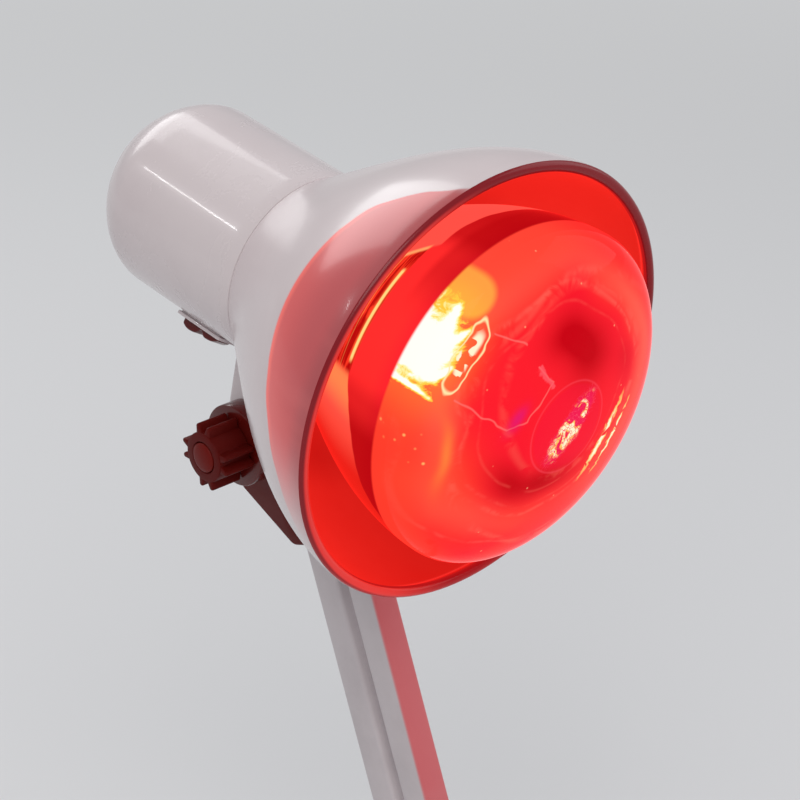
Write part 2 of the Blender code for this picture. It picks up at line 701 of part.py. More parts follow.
def make_bulb(bulb, mats):
    envelope = give_wall(turned("bulb_envelope", envelope_profile(), FINE_STEPS), BULB_WALL)
    place(envelope, PARTS, bulb)
    finish_part(envelope, mats["glass"])

    top = CAP_LENGTH / 2
    side = threaded_side(CAP_R, top, -top + THREAD_PITCH)
    cap = give_wall(turned("bulb_cap", side + [(INSULATOR_R, -top)], MEDIUM_STEPS), CAP_WALL)
    place(cap, PARTS, bulb)
    finish_part(cap, mats["steel"])

    seat = -top - SEAT_GAP
    insulator = turned("bulb_insulator", [
        (0, seat),
        (INSULATOR_R, seat),
        (TIP_R, seat - INSULATOR_LENGTH),
        (0, seat - INSULATOR_LENGTH),
    ], MEDIUM_STEPS)
    place(insulator, PARTS, bulb)
    finish_part(insulator, mats["black"])

    seat -= INSULATOR_LENGTH + SEAT_GAP
    tip = turned("bulb_contact", [
        (0, seat),
        (TIP_R, seat),
        (TIP_R * 0.75, seat - TIP_LENGTH * 0.7),
        (0, seat - TIP_LENGTH),
    ], COARSE_STEPS)
    place(tip, PARTS, bulb)
    finish_part(tip, mats["brass"])

    root = CAP_LENGTH / 2 + SEAT_GAP - BULB_SPIGOT
    flare_r = CAP_R - THREAD_DEPTH - CAP_WALL - BULB_WALL - 2 * SEAT_GAP
    stem_top = root + STEM_LENGTH
    stem = turned("bulb_stem", [
        (0, stem_top),
        (STEM_R * 0.8, stem_top),
        (STEM_R, stem_top - STEM_R),
        (STEM_R, root + 2 * flare_r),
        (flare_r * 0.6, root + flare_r),
        (flare_r, root + flare_r * 0.3),
        (flare_r, root),
        (0, root),
    ], COARSE_STEPS)
    place(stem, PARTS, bulb)
    finish_part(stem, mats["clear"])

    foot = stem_top + SEAT_GAP
    for number, way in ((1, -1), (2, 1)):
        wire = tube(f"bulb_wire_{number}", [
            (way * WIRE_ROOT, 0, foot),
            (way * WIRE_ROOT, 0, foot + STEM_R),
            (way * WIRE_SPREAD, 0, FILAMENT_PLACE - 2 * FILAMENT_R - STEM_R),
            (way * WIRE_SPREAD, 0, FILAMENT_PLACE - FILAMENT_R - SEAT_GAP),
        ], WIRE_R)
        place(wire, PARTS, bulb)
        finish_part(wire, mats["steel"])
    filament_steps = 14
    arc = [
        (
            -WIRE_SPREAD * math.cos(math.pi * i / filament_steps),
            WIRE_SPREAD * 0.75 * math.sin(math.pi * i / filament_steps),
            FILAMENT_PLACE + FILAMENT_R * (i % 2),
        )
        for i in range(filament_steps + 1)
    ]
    filament = tube("bulb_filament", arc, FILAMENT_R)
    place(filament, PARTS, bulb)
    finish_part(filament, mats["tungsten"])


# Rocker switch, in a frame on the housing's surface with local Z straight out

def make_switch(seat, axis, mats):
    flange = flat("switch_body", [rounded_box_outline(SWITCH_LENGTH, SWITCH_WIDTH, SWITCH_EDGE)], SWITCH_FLANGE)
    place(flange, PARTS, seat, (0, 0, SEAT_GAP + SWITCH_FLANGE / 2))
    body_length = SWITCH_LENGTH - 2 * SWITCH_EDGE
    body_width = SWITCH_WIDTH - 2 * SWITCH_EDGE
    depth = SWITCH_BODY_DEPTH + SWITCH_FLANGE / 2
    body = block("switch_box", (body_length, body_width, depth))
    combine(flange, body, "UNION", seat, (0, 0, SEAT_GAP + SWITCH_FLANGE / 2 - depth / 2))
    pocket_depth = ROCKER_KEEL + 3 * ROCKER_PLAY + SEAT_GAP + SWITCH_FLANGE
    pocket = block("switch_pocket", (
        body_length - 2 * SWITCH_WALL,
        body_width - 2 * SWITCH_WALL,
        2 * pocket_depth,
    ))
    combine(flange, pocket, "DIFFERENCE", seat, (0, 0, SEAT_GAP + SWITCH_FLANGE))
    finish_part(flange, mats["maroon"])

    reach = body_length / 2 - SWITCH_WALL - ROCKER_PLAY
    height = SEAT_GAP + SWITCH_FLANGE + ROCKER_LIFT - ROCKER_PIVOT
    dip_steps = 8
    outline = []
    for i in range(dip_steps + 1):
        share = 1 - 2 * i / dip_steps
        outline.append((reach * share * 0.94, height - ROCKER_DIP * (1 - abs(share) ** 1.5)))
    outline += [
        (-reach, height - ROCKER_DIP),
        (-reach, -ROCKER_SKIRT),
        (-reach * 0.35, -ROCKER_KEEL),
        (reach * 0.35, -ROCKER_KEEL),
        (reach, -ROCKER_SKIRT),
        (reach, height - ROCKER_DIP),
    ]
    width = body_width - 2 * SWITCH_WALL - 2 * ROCKER_PLAY
    rocker = flat("switch_rocker", [outline], width)
    side_on = Matrix(((1, 0, 0), (0, 0, -1), (0, 1, 0)))
    place(rocker, PARTS, axis, (0, 0, 0), side_on)
    finish_part(rocker, mats["maroon"])


# Fork under the housing, in the head's frame with the tilt pivot at its origin

def fork_screw_z():
    return SADDLE_Z + SADDLE_LENGTH / 2


def make_fork(head, lamp, mats):
    back = SADDLE_Z - PIVOT_Z
    front = back + SADDLE_LENGTH
    inside = PIVOT_DROP - HOUSING_R + 2 * HOUSING_WALL
    outline = hull_of_circles([(0, 0, FORK_HUB_R), (back, inside, 0), (front, inside, 0)])
    middle = (PLATE_INNER_X + FORK_OUTER_X) / 2
    fork = round_edges(flat("head_fork", [outline], FORK_PLATE), FORK_EDGE_R)
    place(fork, PARTS, head, (-middle, 0, 0), HEAD_PLANE)
    other = round_edges(flat("fork_plate", [outline], FORK_PLATE), FORK_EDGE_R)
    combine(fork, other, "UNION", head, (middle, 0, 0), HEAD_PLANE)
    low = PIVOT_DROP - HOUSING_R - SEAT_GAP - SADDLE_DEPTH
    saddle = block("fork_saddle", (2 * (FORK_OUTER_X - FORK_EDGE_R), inside - low, SADDLE_LENGTH))
    combine(fork, saddle, "UNION", head, (0, (inside + low) / 2, (back + front) / 2))
    hub_length = FORK_HUB_LENGTH + FORK_PLATE / 2
    hub = round_edges(cylinder("fork_hub", FORK_HUB_R - FORK_EDGE_R / 4, hub_length, MEDIUM_STEPS), FORK_EDGE_R)
    combine(fork, hub, "UNION", head, (-HUB_END_X + hub_length / 2, 0, 0), ACROSS)
    bed = cylinder("fork_bed", HOUSING_R + SEAT_GAP, SADDLE_LENGTH * 4, FINE_STEPS)
    combine(fork, bed, "DIFFERENCE", head, (0, PIVOT_DROP, 0))
    bore = cylinder("fork_bore", BOLT_R + RUN_GAP, 4 * HUB_END_X)
    combine(fork, bore, "DIFFERENCE", head, (0, 0, 0), ACROSS)
    inner = head_screw_seat()
    for number, side in ((1, -1), (2, 1)):
        hole = cylinder("fork_pilot", SCREW_R + RUN_GAP, 2 * (HOUSING_WALL + SADDLE_DEPTH * 0.75))
        at = (side * FORK_SCREW_SIDE, -HOUSING_R, fork_screw_z())
        combine(fork, hole, "DIFFERENCE", lamp, at, (math.pi / 2, 0, 0))
        length = HOUSING_R + SADDLE_DEPTH * 0.6 - inner
        at = (side * FORK_SCREW_SIDE, -inner, fork_screw_z())
        make_screw(f"fork_screw_{number}", lamp, at, (-math.pi / 2, 0, 0), mats, length)
    finish_part(fork, mats["white"])


def head_screw_seat():
    """Distance from the axis to the flat underside of a fork screw's head."""
    inside = HOUSING_R - HOUSING_WALL
    reach = FORK_SCREW_SIDE + SCREW_HEAD_R
    return math.sqrt(inside ** 2 - reach ** 2) - SEAT_GAP


def make_tilt_hardware(head, mats):
    for number, side in ((1, -1), (2, 1)):
        ring = [
            (BOLT_R + RUN_GAP, WASHER_THICKNESS / 2),
            (WASHER_R, WASHER_THICKNESS / 2),
            (WASHER_R, -WASHER_THICKNESS / 2),
            (BOLT_R + RUN_GAP, -WASHER_THICKNESS / 2),
        ]
        washer = turned(f"tilt_washer_{number}", ring, MEDIUM_STEPS, closed=True)
        x = side * (LUG_HALF + SEAT_GAP + WASHER_THICKNESS / 2)
        place(washer, PARTS, head, (x, 0, 0), ACROSS)
        finish_part(washer, mats["nylon"])
    make_bolt("tilt_bolt", head, FORK_OUTER_X, HUB_END_X, mats)


def make_bolt(name, frame, right_x, left_x, mats, at=(0, 0, 0)):
    """Head on the right, thread end inside the knob on the left."""
    end = left_x + SEAT_GAP + KNOB_THREAD_DEPTH - SEAT_GAP * 4
    start = -right_x - SEAT_GAP
    bolt = turned(name, [
        (0, end),
        (BOLT_R * 0.7, end),
        (BOLT_R, end - BOLT_R * 0.3),
        (BOLT_R, start),
        (BOLT_HEAD_R, start),
        (BOLT_HEAD_R, start - BOLT_HEAD_LENGTH * 0.6),
        (BOLT_HEAD_R * 0.7, start - BOLT_HEAD_LENGTH),
        (0, start - BOLT_HEAD_LENGTH),
    ], COARSE_STEPS)
    place(bolt, PARTS, frame, at, ACROSS)
    finish_part(bolt, mats["steel"])


# Star knob, on a frame with the joint's axis along X; it sits to the left of its seat

def knob_outline():
    points = []
    lobe_angle = 2 * math.pi / KNOB_LOBES
    for k in range(KNOB_LOBES):
        middle = KNOB_PHASE + k * lobe_angle
        for rib in (-RIB_OFFSET, RIB_OFFSET):
            for offset, radius in (
                (-RIB_HALF_FOOT, KNOB_CORE_R),
                (-RIB_HALF_TOP, KNOB_TIP_R),
                (RIB_HALF_TOP, KNOB_TIP_R),
                (RIB_HALF_FOOT, KNOB_CORE_R),
            ):
                angle = middle + rib + offset
                points.append((radius * math.cos(angle), radius * math.sin(angle)))
        gap_start = RIB_OFFSET + RIB_HALF_FOOT
        for share in (0.3, 0.5, 0.7):
            angle = middle + gap_start + (lobe_angle - 2 * gap_start) * share
            points.append((KNOB_CORE_R * math.cos(angle), KNOB_CORE_R * math.sin(angle)))
    return points


def make_knob(name, frame, seat_x, mats):
    """Knob whose right face is at -seat_x."""
    right = -seat_x - SEAT_GAP
    left = right - KNOB_LENGTH
    knob = round_edges(flat(name, [knob_outline()], KNOB_LENGTH), KNOB_EDGE_R, 1, 60)
    place(knob, PARTS, frame, ((left + right) / 2, 0, 0), ACROSS)
    thread = cylinder(name + "_thread", BOLT_R + RUN_GAP, 2 * KNOB_THREAD_DEPTH)
    combine(knob, thread, "DIFFERENCE", frame, (right, 0, 0), ACROSS)
    recess = cylinder(name + "_recess", KNOB_CAP_R + SEAT_GAP, 2 * KNOB_CAP_RECESS, MEDIUM_STEPS)
    combine(knob, recess, "DIFFERENCE", frame, (left, 0, 0), ACROSS)
    finish_part(knob, mats["maroon"])
    low = KNOB_CAP_RECESS - SEAT_GAP
    cap = turned(name + "_cap", [
        (0, KNOB_CAP_LIFT),
        (KNOB_CAP_R * 0.7, KNOB_CAP_LIFT * 0.85),
        (KNOB_CAP_R, KNOB_CAP_LIFT * 0.2),
        (KNOB_CAP_R, -low),
        (0, -low),
    ], MEDIUM_STEPS)
    place(cap, PARTS, frame, (left, 0, 0), ACROSS)
    finish_part(cap, mats["cap"])


# Knuckle and yoke hold the bars' ends between cheeks

def bar_cavity(rear, front, name):
    """Room for both bars below their pins, through the whole swing."""
    radius = BAR_DEPTH / 2 + CAVITY_GAP
    least = ARM_LEAN - BAR_SWING
    most = ARM_LEAN + BAR_SWING
    rear_normal = Vector((-math.cos(least), -math.sin(least)))
    front_normal = Vector((math.cos(most), math.sin(most)))
    far = 4 * BAR_PITCH
    over = bar_direction(ARM_LEAN)
    start = math.atan2(rear_normal[1], rear_normal[0])
    top = math.atan2(over[1], over[0])
    end = math.atan2(front_normal[1], front_normal[0])
    points = [rear + rear_normal * radius - bar_direction(least) * far]
    points += circle_points(rear, radius, 5, start, top - start)
    points += circle_points(front, radius, 4, top, end - top)
    points.append(front + front_normal * radius - bar_direction(most) * far)
    return flat(name, [points], BAR_THICKNESS + 2 * CHEEK_GAP)


def from_pins(along, down):
    """A place given along the pin line and down the bars, from the rear pin."""
    return PIN_LINE * along - bar_direction(ARM_LEAN) * down


def make_knuckle(frame, mats):
    front_pin = PIN_LINE * BAR_PITCH
    corner = KNUCKLE_CORNER_R
    lip = KNUCKLE_LIP - corner
    rear_corner = from_pins(-BAR_DEPTH / 2 - KNUCKLE_SHOULDER + corner / 2, lip)
    front_corner = from_pins(BAR_PITCH + BAR_DEPTH / 2 + KNUCKLE_SHOULDER - corner, lip)
    outline = hull_of_circles([
        (-KNUCKLE_BACK, KNUCKLE_RISE, LUG_R),
        (-KNUCKLE_HEEL_BACK, KNUCKLE_HEEL_RISE, corner),
        (*rear_corner, corner),
        (*front_corner, corner),
        (*front_pin, EYE_R),
    ])
    knuckle = round_edges(flat("arm_knuckle", [outline], 2 * LUG_HALF), KNUCKLE_EDGE_R)
    place(knuckle, PARTS, frame, (0, 0, 0), ARM_PLANE)
    combine(knuckle, bar_cavity(Vector((0, 0)), front_pin, "knuckle_cavity"), "DIFFERENCE", frame, (0, 0, 0), ARM_PLANE)
    bore = cylinder("knuckle_bore", BOLT_R + RUN_GAP, 4 * LUG_HALF)
    combine(knuckle, bore, "DIFFERENCE", frame, spot((-KNUCKLE_BACK, KNUCKLE_RISE)), ACROSS)
    for place_name, pin in (("rear", Vector((0, 0))), ("front", front_pin)):
        hole = cylinder("knuckle_pin_hole", PIN_R + RUN_GAP, 4 * LUG_HALF)
        combine(knuckle, hole, "DIFFERENCE", frame, spot(pin), ACROSS)
        make_rivet(f"knuckle_pin_{place_name}", frame, spot(pin), mats)
    finish_part(knuckle, mats["maroon"])


def make_rivet(name, frame, at, mats):
    half = LUG_HALF + SEAT_GAP
    end = half + PIN_HEAD_LENGTH
    profile = [
        (0, end),
        (PIN_HEAD_R * 0.65, end),
        (PIN_HEAD_R, half + PIN_HEAD_LENGTH * 0.4),
        (PIN_HEAD_R, half),
        (PIN_R, half),
    ]
    profile += [(r, -z) for r, z in reversed(profile)]
    rivet = turned(name, profile, COARSE_STEPS)
    place(rivet, PARTS, frame, at, ACROSS)
    finish_part(rivet, mats["steel"])


def make_yoke(frame, mats):
    """The yoke's frame is the middle of its foot's underside."""
    rear_pin = Vector((0, YOKE_RISE)) - PIN_LINE * BAR_PITCH / 2
    front_pin = Vector((0, YOKE_RISE)) + PIN_LINE * BAR_PITCH / 2
    outline = hull_of_circles([
        (*rear_pin, EYE_R),
        (*front_pin, EYE_R),
        (-YOKE_HALF_LENGTH, 0, 0),
        (YOKE_HALF_LENGTH, 0, 0),
    ])
    yoke = round_edges(flat("arm_yoke", [outline], 2 * LUG_HALF), KNUCKLE_EDGE_R)
    place(yoke, PARTS, frame, (0, 0, 0), ARM_PLANE)
    foot = cylinder("yoke_foot", YOKE_FOOT_R, YOKE_FOOT_THICKNESS, MEDIUM_STEPS)
    combine(yoke, foot, "UNION", frame, (0, 0, YOKE_FOOT_THICKNESS / 2))
    cavity = bar_cavity(Vector((0, 0)), PIN_LINE * BAR_PITCH, "yoke_cavity")
    upside_down = ARM_PLANE @ Matrix.Rotation(math.pi, 3, "Z")
    combine(yoke, cavity, "DIFFERENCE", frame, spot(front_pin), upside_down)
    for pin in (rear_pin, front_pin):
        hole = cylinder("yoke_pin_hole", (PIN_R if pin is rear_pin else BOLT_R) + RUN_GAP, 4 * LUG_HALF)
        combine(yoke, hole, "DIFFERENCE", frame, spot(pin), ACROSS)
    socket = cylinder("spindle_socket", SPINDLE_R + SEAT_GAP, 2 * SPINDLE_SEAT, MEDIUM_STEPS)
    combine(yoke, socket, "DIFFERENCE", frame)
    finish_part(yoke, mats["maroon"])
    make_rivet("yoke_pin", frame, spot(rear_pin), mats)
    make_bolt("arm_bolt", frame, LUG_HALF, LUG_HALF, mats, spot(front_pin))

    top = SPINDLE_SEAT - SEAT_GAP
    spindle = turned("swivel_spindle", [
        (SPINDLE_BORE_R, top),
        (SPINDLE_R, top),
        (SPINDLE_R, top - SPINDLE_LENGTH),
        (SPINDLE_BORE_R, top - SPINDLE_LENGTH),
    ], MEDIUM_STEPS, closed=True)
    place(spindle, PARTS, frame)
    finish_part(spindle, mats["steel"])
    nut_top = -SEAT_GAP - BASE_WALL - SEAT_GAP
    ring = circle_points((0, 0), SPINDLE_R + RUN_GAP, MEDIUM_STEPS)
    nut = flat("swivel_nut", [circle_points((0, 0), NUT_R, 6), ring], NUT_THICKNESS)
    place(nut, PARTS, frame, (0, 0, nut_top - NUT_THICKNESS / 2))
    finish_part(nut, mats["steel"])


# Bars, in a frame at the lower pin with local Z up along the bar

def make_bar(name, frame, mats):
    length = BAR_REACH - 2 * PLUG_NECK
    inner_r = BAR_CORNER_R - BAR_WALL
    outer = rounded_box_outline(BAR_THICKNESS, BAR_DEPTH, BAR_CORNER_R)
    inner = rounded_box_outline(BAR_THICKNESS - 2 * BAR_WALL, BAR_DEPTH - 2 * BAR_WALL, inner_r, 1)
    bar = flat(name, [outer, inner], length)
    place(bar, PARTS, frame, (0, 0, BAR_REACH / 2))
    finish_part(bar, mats["bars"])
    make_plug(name + "_foot_plug", frame, 0, 1, name == "front_bar", mats)
    make_plug(name + "_top_plug", frame, BAR_REACH, -1, False, mats)


def make_plug(name, frame, height, way, bolted, mats):
    """End plug with its eye round the pin; way is +1 when the tube is above it."""
    neck = way * (PLUG_NECK - SEAT_GAP)
    half = BAR_DEPTH / 2
    outline = hull_of_circles([(0, 0, half), (-half, neck, 0), (half, neck, 0)])
    plug = flat(name, [outline], BAR_THICKNESS)
    place(plug, PARTS, frame, (0, 0, height), ARM_PLANE)
    tongue_length = PLUG_TONGUE + PLUG_NECK / 2
    tongue = block(name + "_tongue", (
        BAR_THICKNESS - 2 * BAR_WALL - 2 * SEAT_GAP,
        BAR_DEPTH - 2 * BAR_WALL - 2 * SEAT_GAP,
        tongue_length,
    ))
    combine(plug, tongue, "UNION", frame, (0, 0, height + way * (PLUG_NECK / 2 + tongue_length / 2)))
    eye = cylinder(name + "_eye", (BOLT_R if bolted else PIN_R) + RUN_GAP, 2 * BAR_THICKNESS)
    combine(plug, eye, "DIFFERENCE", frame, (0, 0, height), ACROSS)
    finish_part(plug, mats["nylon"])


# Base

def make_base(mats):
    top = PAD_THICKNESS + BASE_HEIGHT
    edge = BASE_R - BASE_EDGE_R
    profile = [
        (SPINDLE_R + RUN_GAP, BASE_TOP),
        (BASE_BOSS_R, BASE_TOP),
        (BASE_BOSS_R + BASE_BOSS_RISE, top),
    ]
    profile += circle_points((edge, top - BASE_EDGE_R), BASE_EDGE_R, 5, math.pi / 2, -math.pi / 2)
    profile.append((BASE_R, PAD_THICKNESS))
    cover = give_wall(turned("base_cover", profile, FINE_STEPS), BASE_WALL)
    place(cover, PARTS)

    plate_top = PAD_THICKNESS + BASE_PLATE_THICKNESS
    plate_r = BASE_R - BASE_WALL - SEAT_GAP
    plate = turned("base_plate", [
        (0, plate_top),
        (plate_r, plate_top),
        (plate_r, PAD_THICKNESS),
        (0, PAD_THICKNESS),
    ], FINE_STEPS)
    place(plate, PARTS)

    weight_low = plate_top + SEAT_GAP
    weight = turned("base_weight", [
        (WEIGHT_HOLE_R, weight_low + WEIGHT_THICKNESS),
        (WEIGHT_R, weight_low + WEIGHT_THICKNESS),
        (WEIGHT_R, weight_low),
        (WEIGHT_HOLE_R, weight_low),
    ], MEDIUM_STEPS, closed=True)
    place(weight, PARTS)
    finish_part(weight, mats["iron"])

    post_low = plate_top + SEAT_GAP
    post_length = top - BASE_WALL / 2 - post_low
    for k in range(4):
        angle = math.pi / 2 * k + math.pi / 4
        at = (BASE_SCREW_REACH * math.cos(angle), BASE_SCREW_REACH * math.sin(angle))
        post = cylinder("cover_post", BASE_POST_R, post_length)
        combine(cover, post, "UNION", None, (*at, post_low + post_length / 2))
        pilot = cylinder("cover_pilot", SCREW_R + RUN_GAP, 2 * SCREW_LENGTH)
        combine(cover, pilot, "DIFFERENCE", None, (*at, post_low))
        hole = cylinder("plate_hole", SCREW_R + RUN_GAP, 2 * BASE_PLATE_THICKNESS)
        combine(plate, hole, "DIFFERENCE", None, (*at, PAD_THICKNESS + BASE_PLATE_THICKNESS / 2))
        screw_at = (*at, PAD_THICKNESS - SEAT_GAP)
        make_screw(f"base_screw_{k + 1}", None, screw_at, (math.pi, 0, 0), mats)
    pad = turned("base_pad", [
        (0, PAD_THICKNESS - SEAT_GAP),
        (PAD_R, PAD_THICKNESS - SEAT_GAP),
        (PAD_R, PAD_EDGE),
        (PAD_R - PAD_EDGE, 0),
        (0, 0),
    ], FINE_STEPS)
    place(pad, PARTS)
    finish_part(pad, mats["rubber"])

    inlet_z = PAD_THICKNESS + INLET_RISE
    hole = cylinder("inlet_hole", INLET_R + SEAT_GAP, 4 * BASE_WALL)
    hole_turn = Matrix.Rotation(math.pi / 2, 3, "X") @ Matrix.Rotation(math.pi / COARSE_STEPS, 3, "Z")
    combine(cover, hole, "DIFFERENCE", None, (0, BASE_R, inlet_z), hole_turn)
    finish_part(cover, mats["white"])
    finish_part(plate, mats["black"])

    inlet = turned("cord_inlet", [
        (INLET_BORE_R, INLET_FLANGE_THICKNESS),
        (INLET_FLANGE_R - INLET_FLANGE_THICKNESS / 2, INLET_FLANGE_THICKNESS),
        (INLET_FLANGE_R, 0),
        (INLET_R, 0),
        (INLET_R, INLET_FLANGE_THICKNESS - INLET_LENGTH),
        (INLET_BORE_R, INLET_FLANGE_THICKNESS - INLET_LENGTH),
    ], COARSE_STEPS, closed=True)
    place(inlet, PARTS, None, (0, BASE_R + SEAT_GAP, inlet_z), (-math.pi / 2, 0, 0))
    finish_part(inlet, mats["rubber"])


def build_lamp():
    mats = make_materials()
    make_base(mats)
    swivel = make_frame("swivel_axis", (0, 0, YOKE_FOOT))
    make_yoke(swivel, mats)
    arm_knob_axis = make_frame("arm_knob_axis", spot(LOWER_FRONT), parent=swivel)
    make_knob("arm_knob", arm_knob_axis, LUG_HALF, mats)
    rear = make_frame("rear_bar_axis", spot(LOWER_REAR), BAR_TURN, swivel)
    front = make_frame("front_bar_axis", spot(LOWER_FRONT), BAR_TURN, swivel)
    make_bar("rear_bar", rear, mats)
    make_bar("front_bar", front, mats)
    knuckle = make_frame("knuckle_axis", spot(UPPER_REAR), parent=rear)
    make_knuckle(knuckle, mats)
    head = make_frame("tilt_axis", spot(TILT_PIVOT), HEAD_TURN, knuckle)
    lamp = place(bpy.data.objects.new("lamp_axis", None), PARTS, head, (0, PIVOT_DROP, -PIVOT_Z))
    bulb = place(bpy.data.objects.new("bulb_axis", None), PARTS, lamp, (0, 0, CAP_MIDDLE_Z), (0, BULB_LEAN, 0))
    seat = place(bpy.data.objects.new("switch_seat", None), PARTS, lamp, switch_origin(), switch_turn())
    rocker_turn = switch_turn() @ Matrix.Rotation(ROCKER_TILT, 3, "Y")
    rocker = place(bpy.data.objects.new("rocker_axis", None), PARTS, lamp, switch_origin(ROCKER_PIVOT), rocker_turn)
    make_shade(lamp, mats)
    make_housing(lamp, mats)
    make_holder(lamp, mats)
    make_bulb(bulb, mats)
    make_switch(seat, rocker, mats)
    make_fork(head, lamp, mats)
    make_tilt_hardware(head, mats)
    tilt_knob_axis = make_frame("tilt_knob_axis", spot(TILT_PIVOT), HEAD_TURN, head)
    make_knob("tilt_knob", tilt_knob_axis, HUB_END_X, mats)


build_lamp()
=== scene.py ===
import math

import bmesh
import bpy
from mathutils import Matrix, Vector


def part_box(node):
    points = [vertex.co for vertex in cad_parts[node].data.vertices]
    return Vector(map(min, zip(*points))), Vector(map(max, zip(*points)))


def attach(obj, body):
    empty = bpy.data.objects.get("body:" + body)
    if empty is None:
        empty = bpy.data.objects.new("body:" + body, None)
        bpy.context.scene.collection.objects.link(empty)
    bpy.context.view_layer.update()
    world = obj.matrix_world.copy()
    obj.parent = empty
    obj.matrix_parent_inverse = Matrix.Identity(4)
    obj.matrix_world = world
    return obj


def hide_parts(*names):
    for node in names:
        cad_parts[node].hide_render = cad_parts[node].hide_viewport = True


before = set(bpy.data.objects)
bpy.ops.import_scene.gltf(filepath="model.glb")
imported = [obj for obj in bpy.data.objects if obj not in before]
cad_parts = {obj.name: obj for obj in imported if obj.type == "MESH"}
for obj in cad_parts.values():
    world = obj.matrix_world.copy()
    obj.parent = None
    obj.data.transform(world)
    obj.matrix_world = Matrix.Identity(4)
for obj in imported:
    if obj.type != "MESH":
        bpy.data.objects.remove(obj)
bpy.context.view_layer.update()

lampScene = bpy.context.scene
lampScene.view_settings.view_transform = "Standard"


def newObject(name, data):
    piece = bpy.data.objects.new(name, data)
    lampScene.collection.objects.link(piece)
    return piece


def discard(piece):
    bpy.data.objects.remove(piece, do_unlink=True)


def moved(*place):
    return Matrix.Translation(place)


def turned(degrees, axis):
    return Matrix.Rotation(math.radians(degrees), 4, axis)


def facing(right, up, out):  # turns x, y and z to these directions
    return Matrix((right, up, out)).transposed().to_4x4()


toSide = facing((0, 0, 1), (0, 1, 0), (-1, 0, 0))  # z turned to the lamp's left

# Where the lamp's axis lies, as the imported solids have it
headSet = {
    "rimCentre": (0, 0.015576, 0.386874),
    "pitch": 8,  # degrees the beam points below level
    "capMiddle": -0.1326,  # middle of the bulb's screw cap, behind the rim
    "bulbLean": 1.7,  # degrees
}
lampMatrix = moved(*headSet["rimCentre"]) @ turned(90 + headSet["pitch"], "X")
bulbMatrix = lampMatrix @ moved(0, 0, headSet["capMiddle"]) @ turned(headSet["bulbLean"], "Y")

# The photograph's view
cameraSet = {
    "azimuth": -42.4,  # degrees round the lamp from straight in front
    "elevation": 26,  # degrees above level
    "lens": 117, "sensor": 36, "clip": 0.05,
    "rimRight": 0.029,  # where the rim's centre sits in the view
    "rimUp": 0.0049, "rimAway": 0.8829,
}


def makeCamera(s):
    azimuth, elevation = math.radians(s["azimuth"]), math.radians(s["elevation"])
    right = Vector((math.cos(azimuth), math.sin(azimuth), 0))
    level = Vector((math.sin(azimuth), -math.cos(azimuth), 0))
    back = level * math.cos(elevation) + Vector((0, 0, math.sin(elevation)))
    up = back.cross(right)
    data = bpy.data.cameras.new("photoCamera")
    data.lens = s["lens"]
    data.sensor_width = s["sensor"]
    data.clip_start = s["clip"]
    where = Vector(headSet["rimCentre"]) - right * s["rimRight"] - up * s["rimUp"] + back * s["rimAway"]
    camera = newObject("photoCamera", data)
    camera.matrix_world = moved(*where) @ facing(right, up, back)
    lampScene.camera = camera


makeCamera(cameraSet)
print("camera placed")


def plug(tree, slot, value):  # a wire is linked, anything else is set
    if isinstance(value, Wire):
        tree.links.new(value.socket, slot)
    else:
        slot.default_value = value


def addNode(tree, kind, sockets=None, output=0, **settings):
    made = tree.nodes.new(kind)
    for key, value in settings.items():
        setattr(made, key, value)
    for key, value in (sockets or {}).items():
        plug(tree, made.inputs[key], value)
    return Wire(tree, made.outputs[output])


# Node maths: an expression on wires adds Math nodes
class Wire:
    def __init__(self, tree, socket):
        self.tree = tree
        self.socket = socket

    def math(self, operation, *others):
        return addNode(self.tree, "ShaderNodeMath", dict(enumerate((self, *others))), operation=operation)

    def __add__(self, other):
        return self.math("ADD", other)

    __radd__ = __add__

    def __sub__(self, other):
        return self.math("SUBTRACT", other)

    def __rsub__(self, other):
        return self * -1 + other

    def __mul__(self, other):
        return self.math("MULTIPLY", other)

    def __truediv__(self, other):
        return self.math("DIVIDE", other)

    def fade(self, low, high):  # 0 below low, 1 above high
        sockets = {"Value": self, "From Min": low, "From Max": high}
        return addNode(self.tree, "ShaderNodeMapRange", sockets, "Result", interpolation_type="SMOOTHSTEP")

    def drop(self, low, high):  # 1 below low, 0 above high
        return 1 - self.fade(low, high)

    def band(self, *ends):  # up between the first two ends, down between the last two
        return self.fade(*ends[:2]) * self.drop(*ends[2:])

    def near(self, middle, width):  # 1 at the middle, 0 past the width
        return (self - middle).math("ABSOLUTE").drop(0, width)


def lengthOf(a, b):
    return (a * a + b * b).math("SQRT")


def turnOf(x, y):  # 0 at the top, a quarter turn at the left
    return (x * -1).math("ARCTAN2", y)


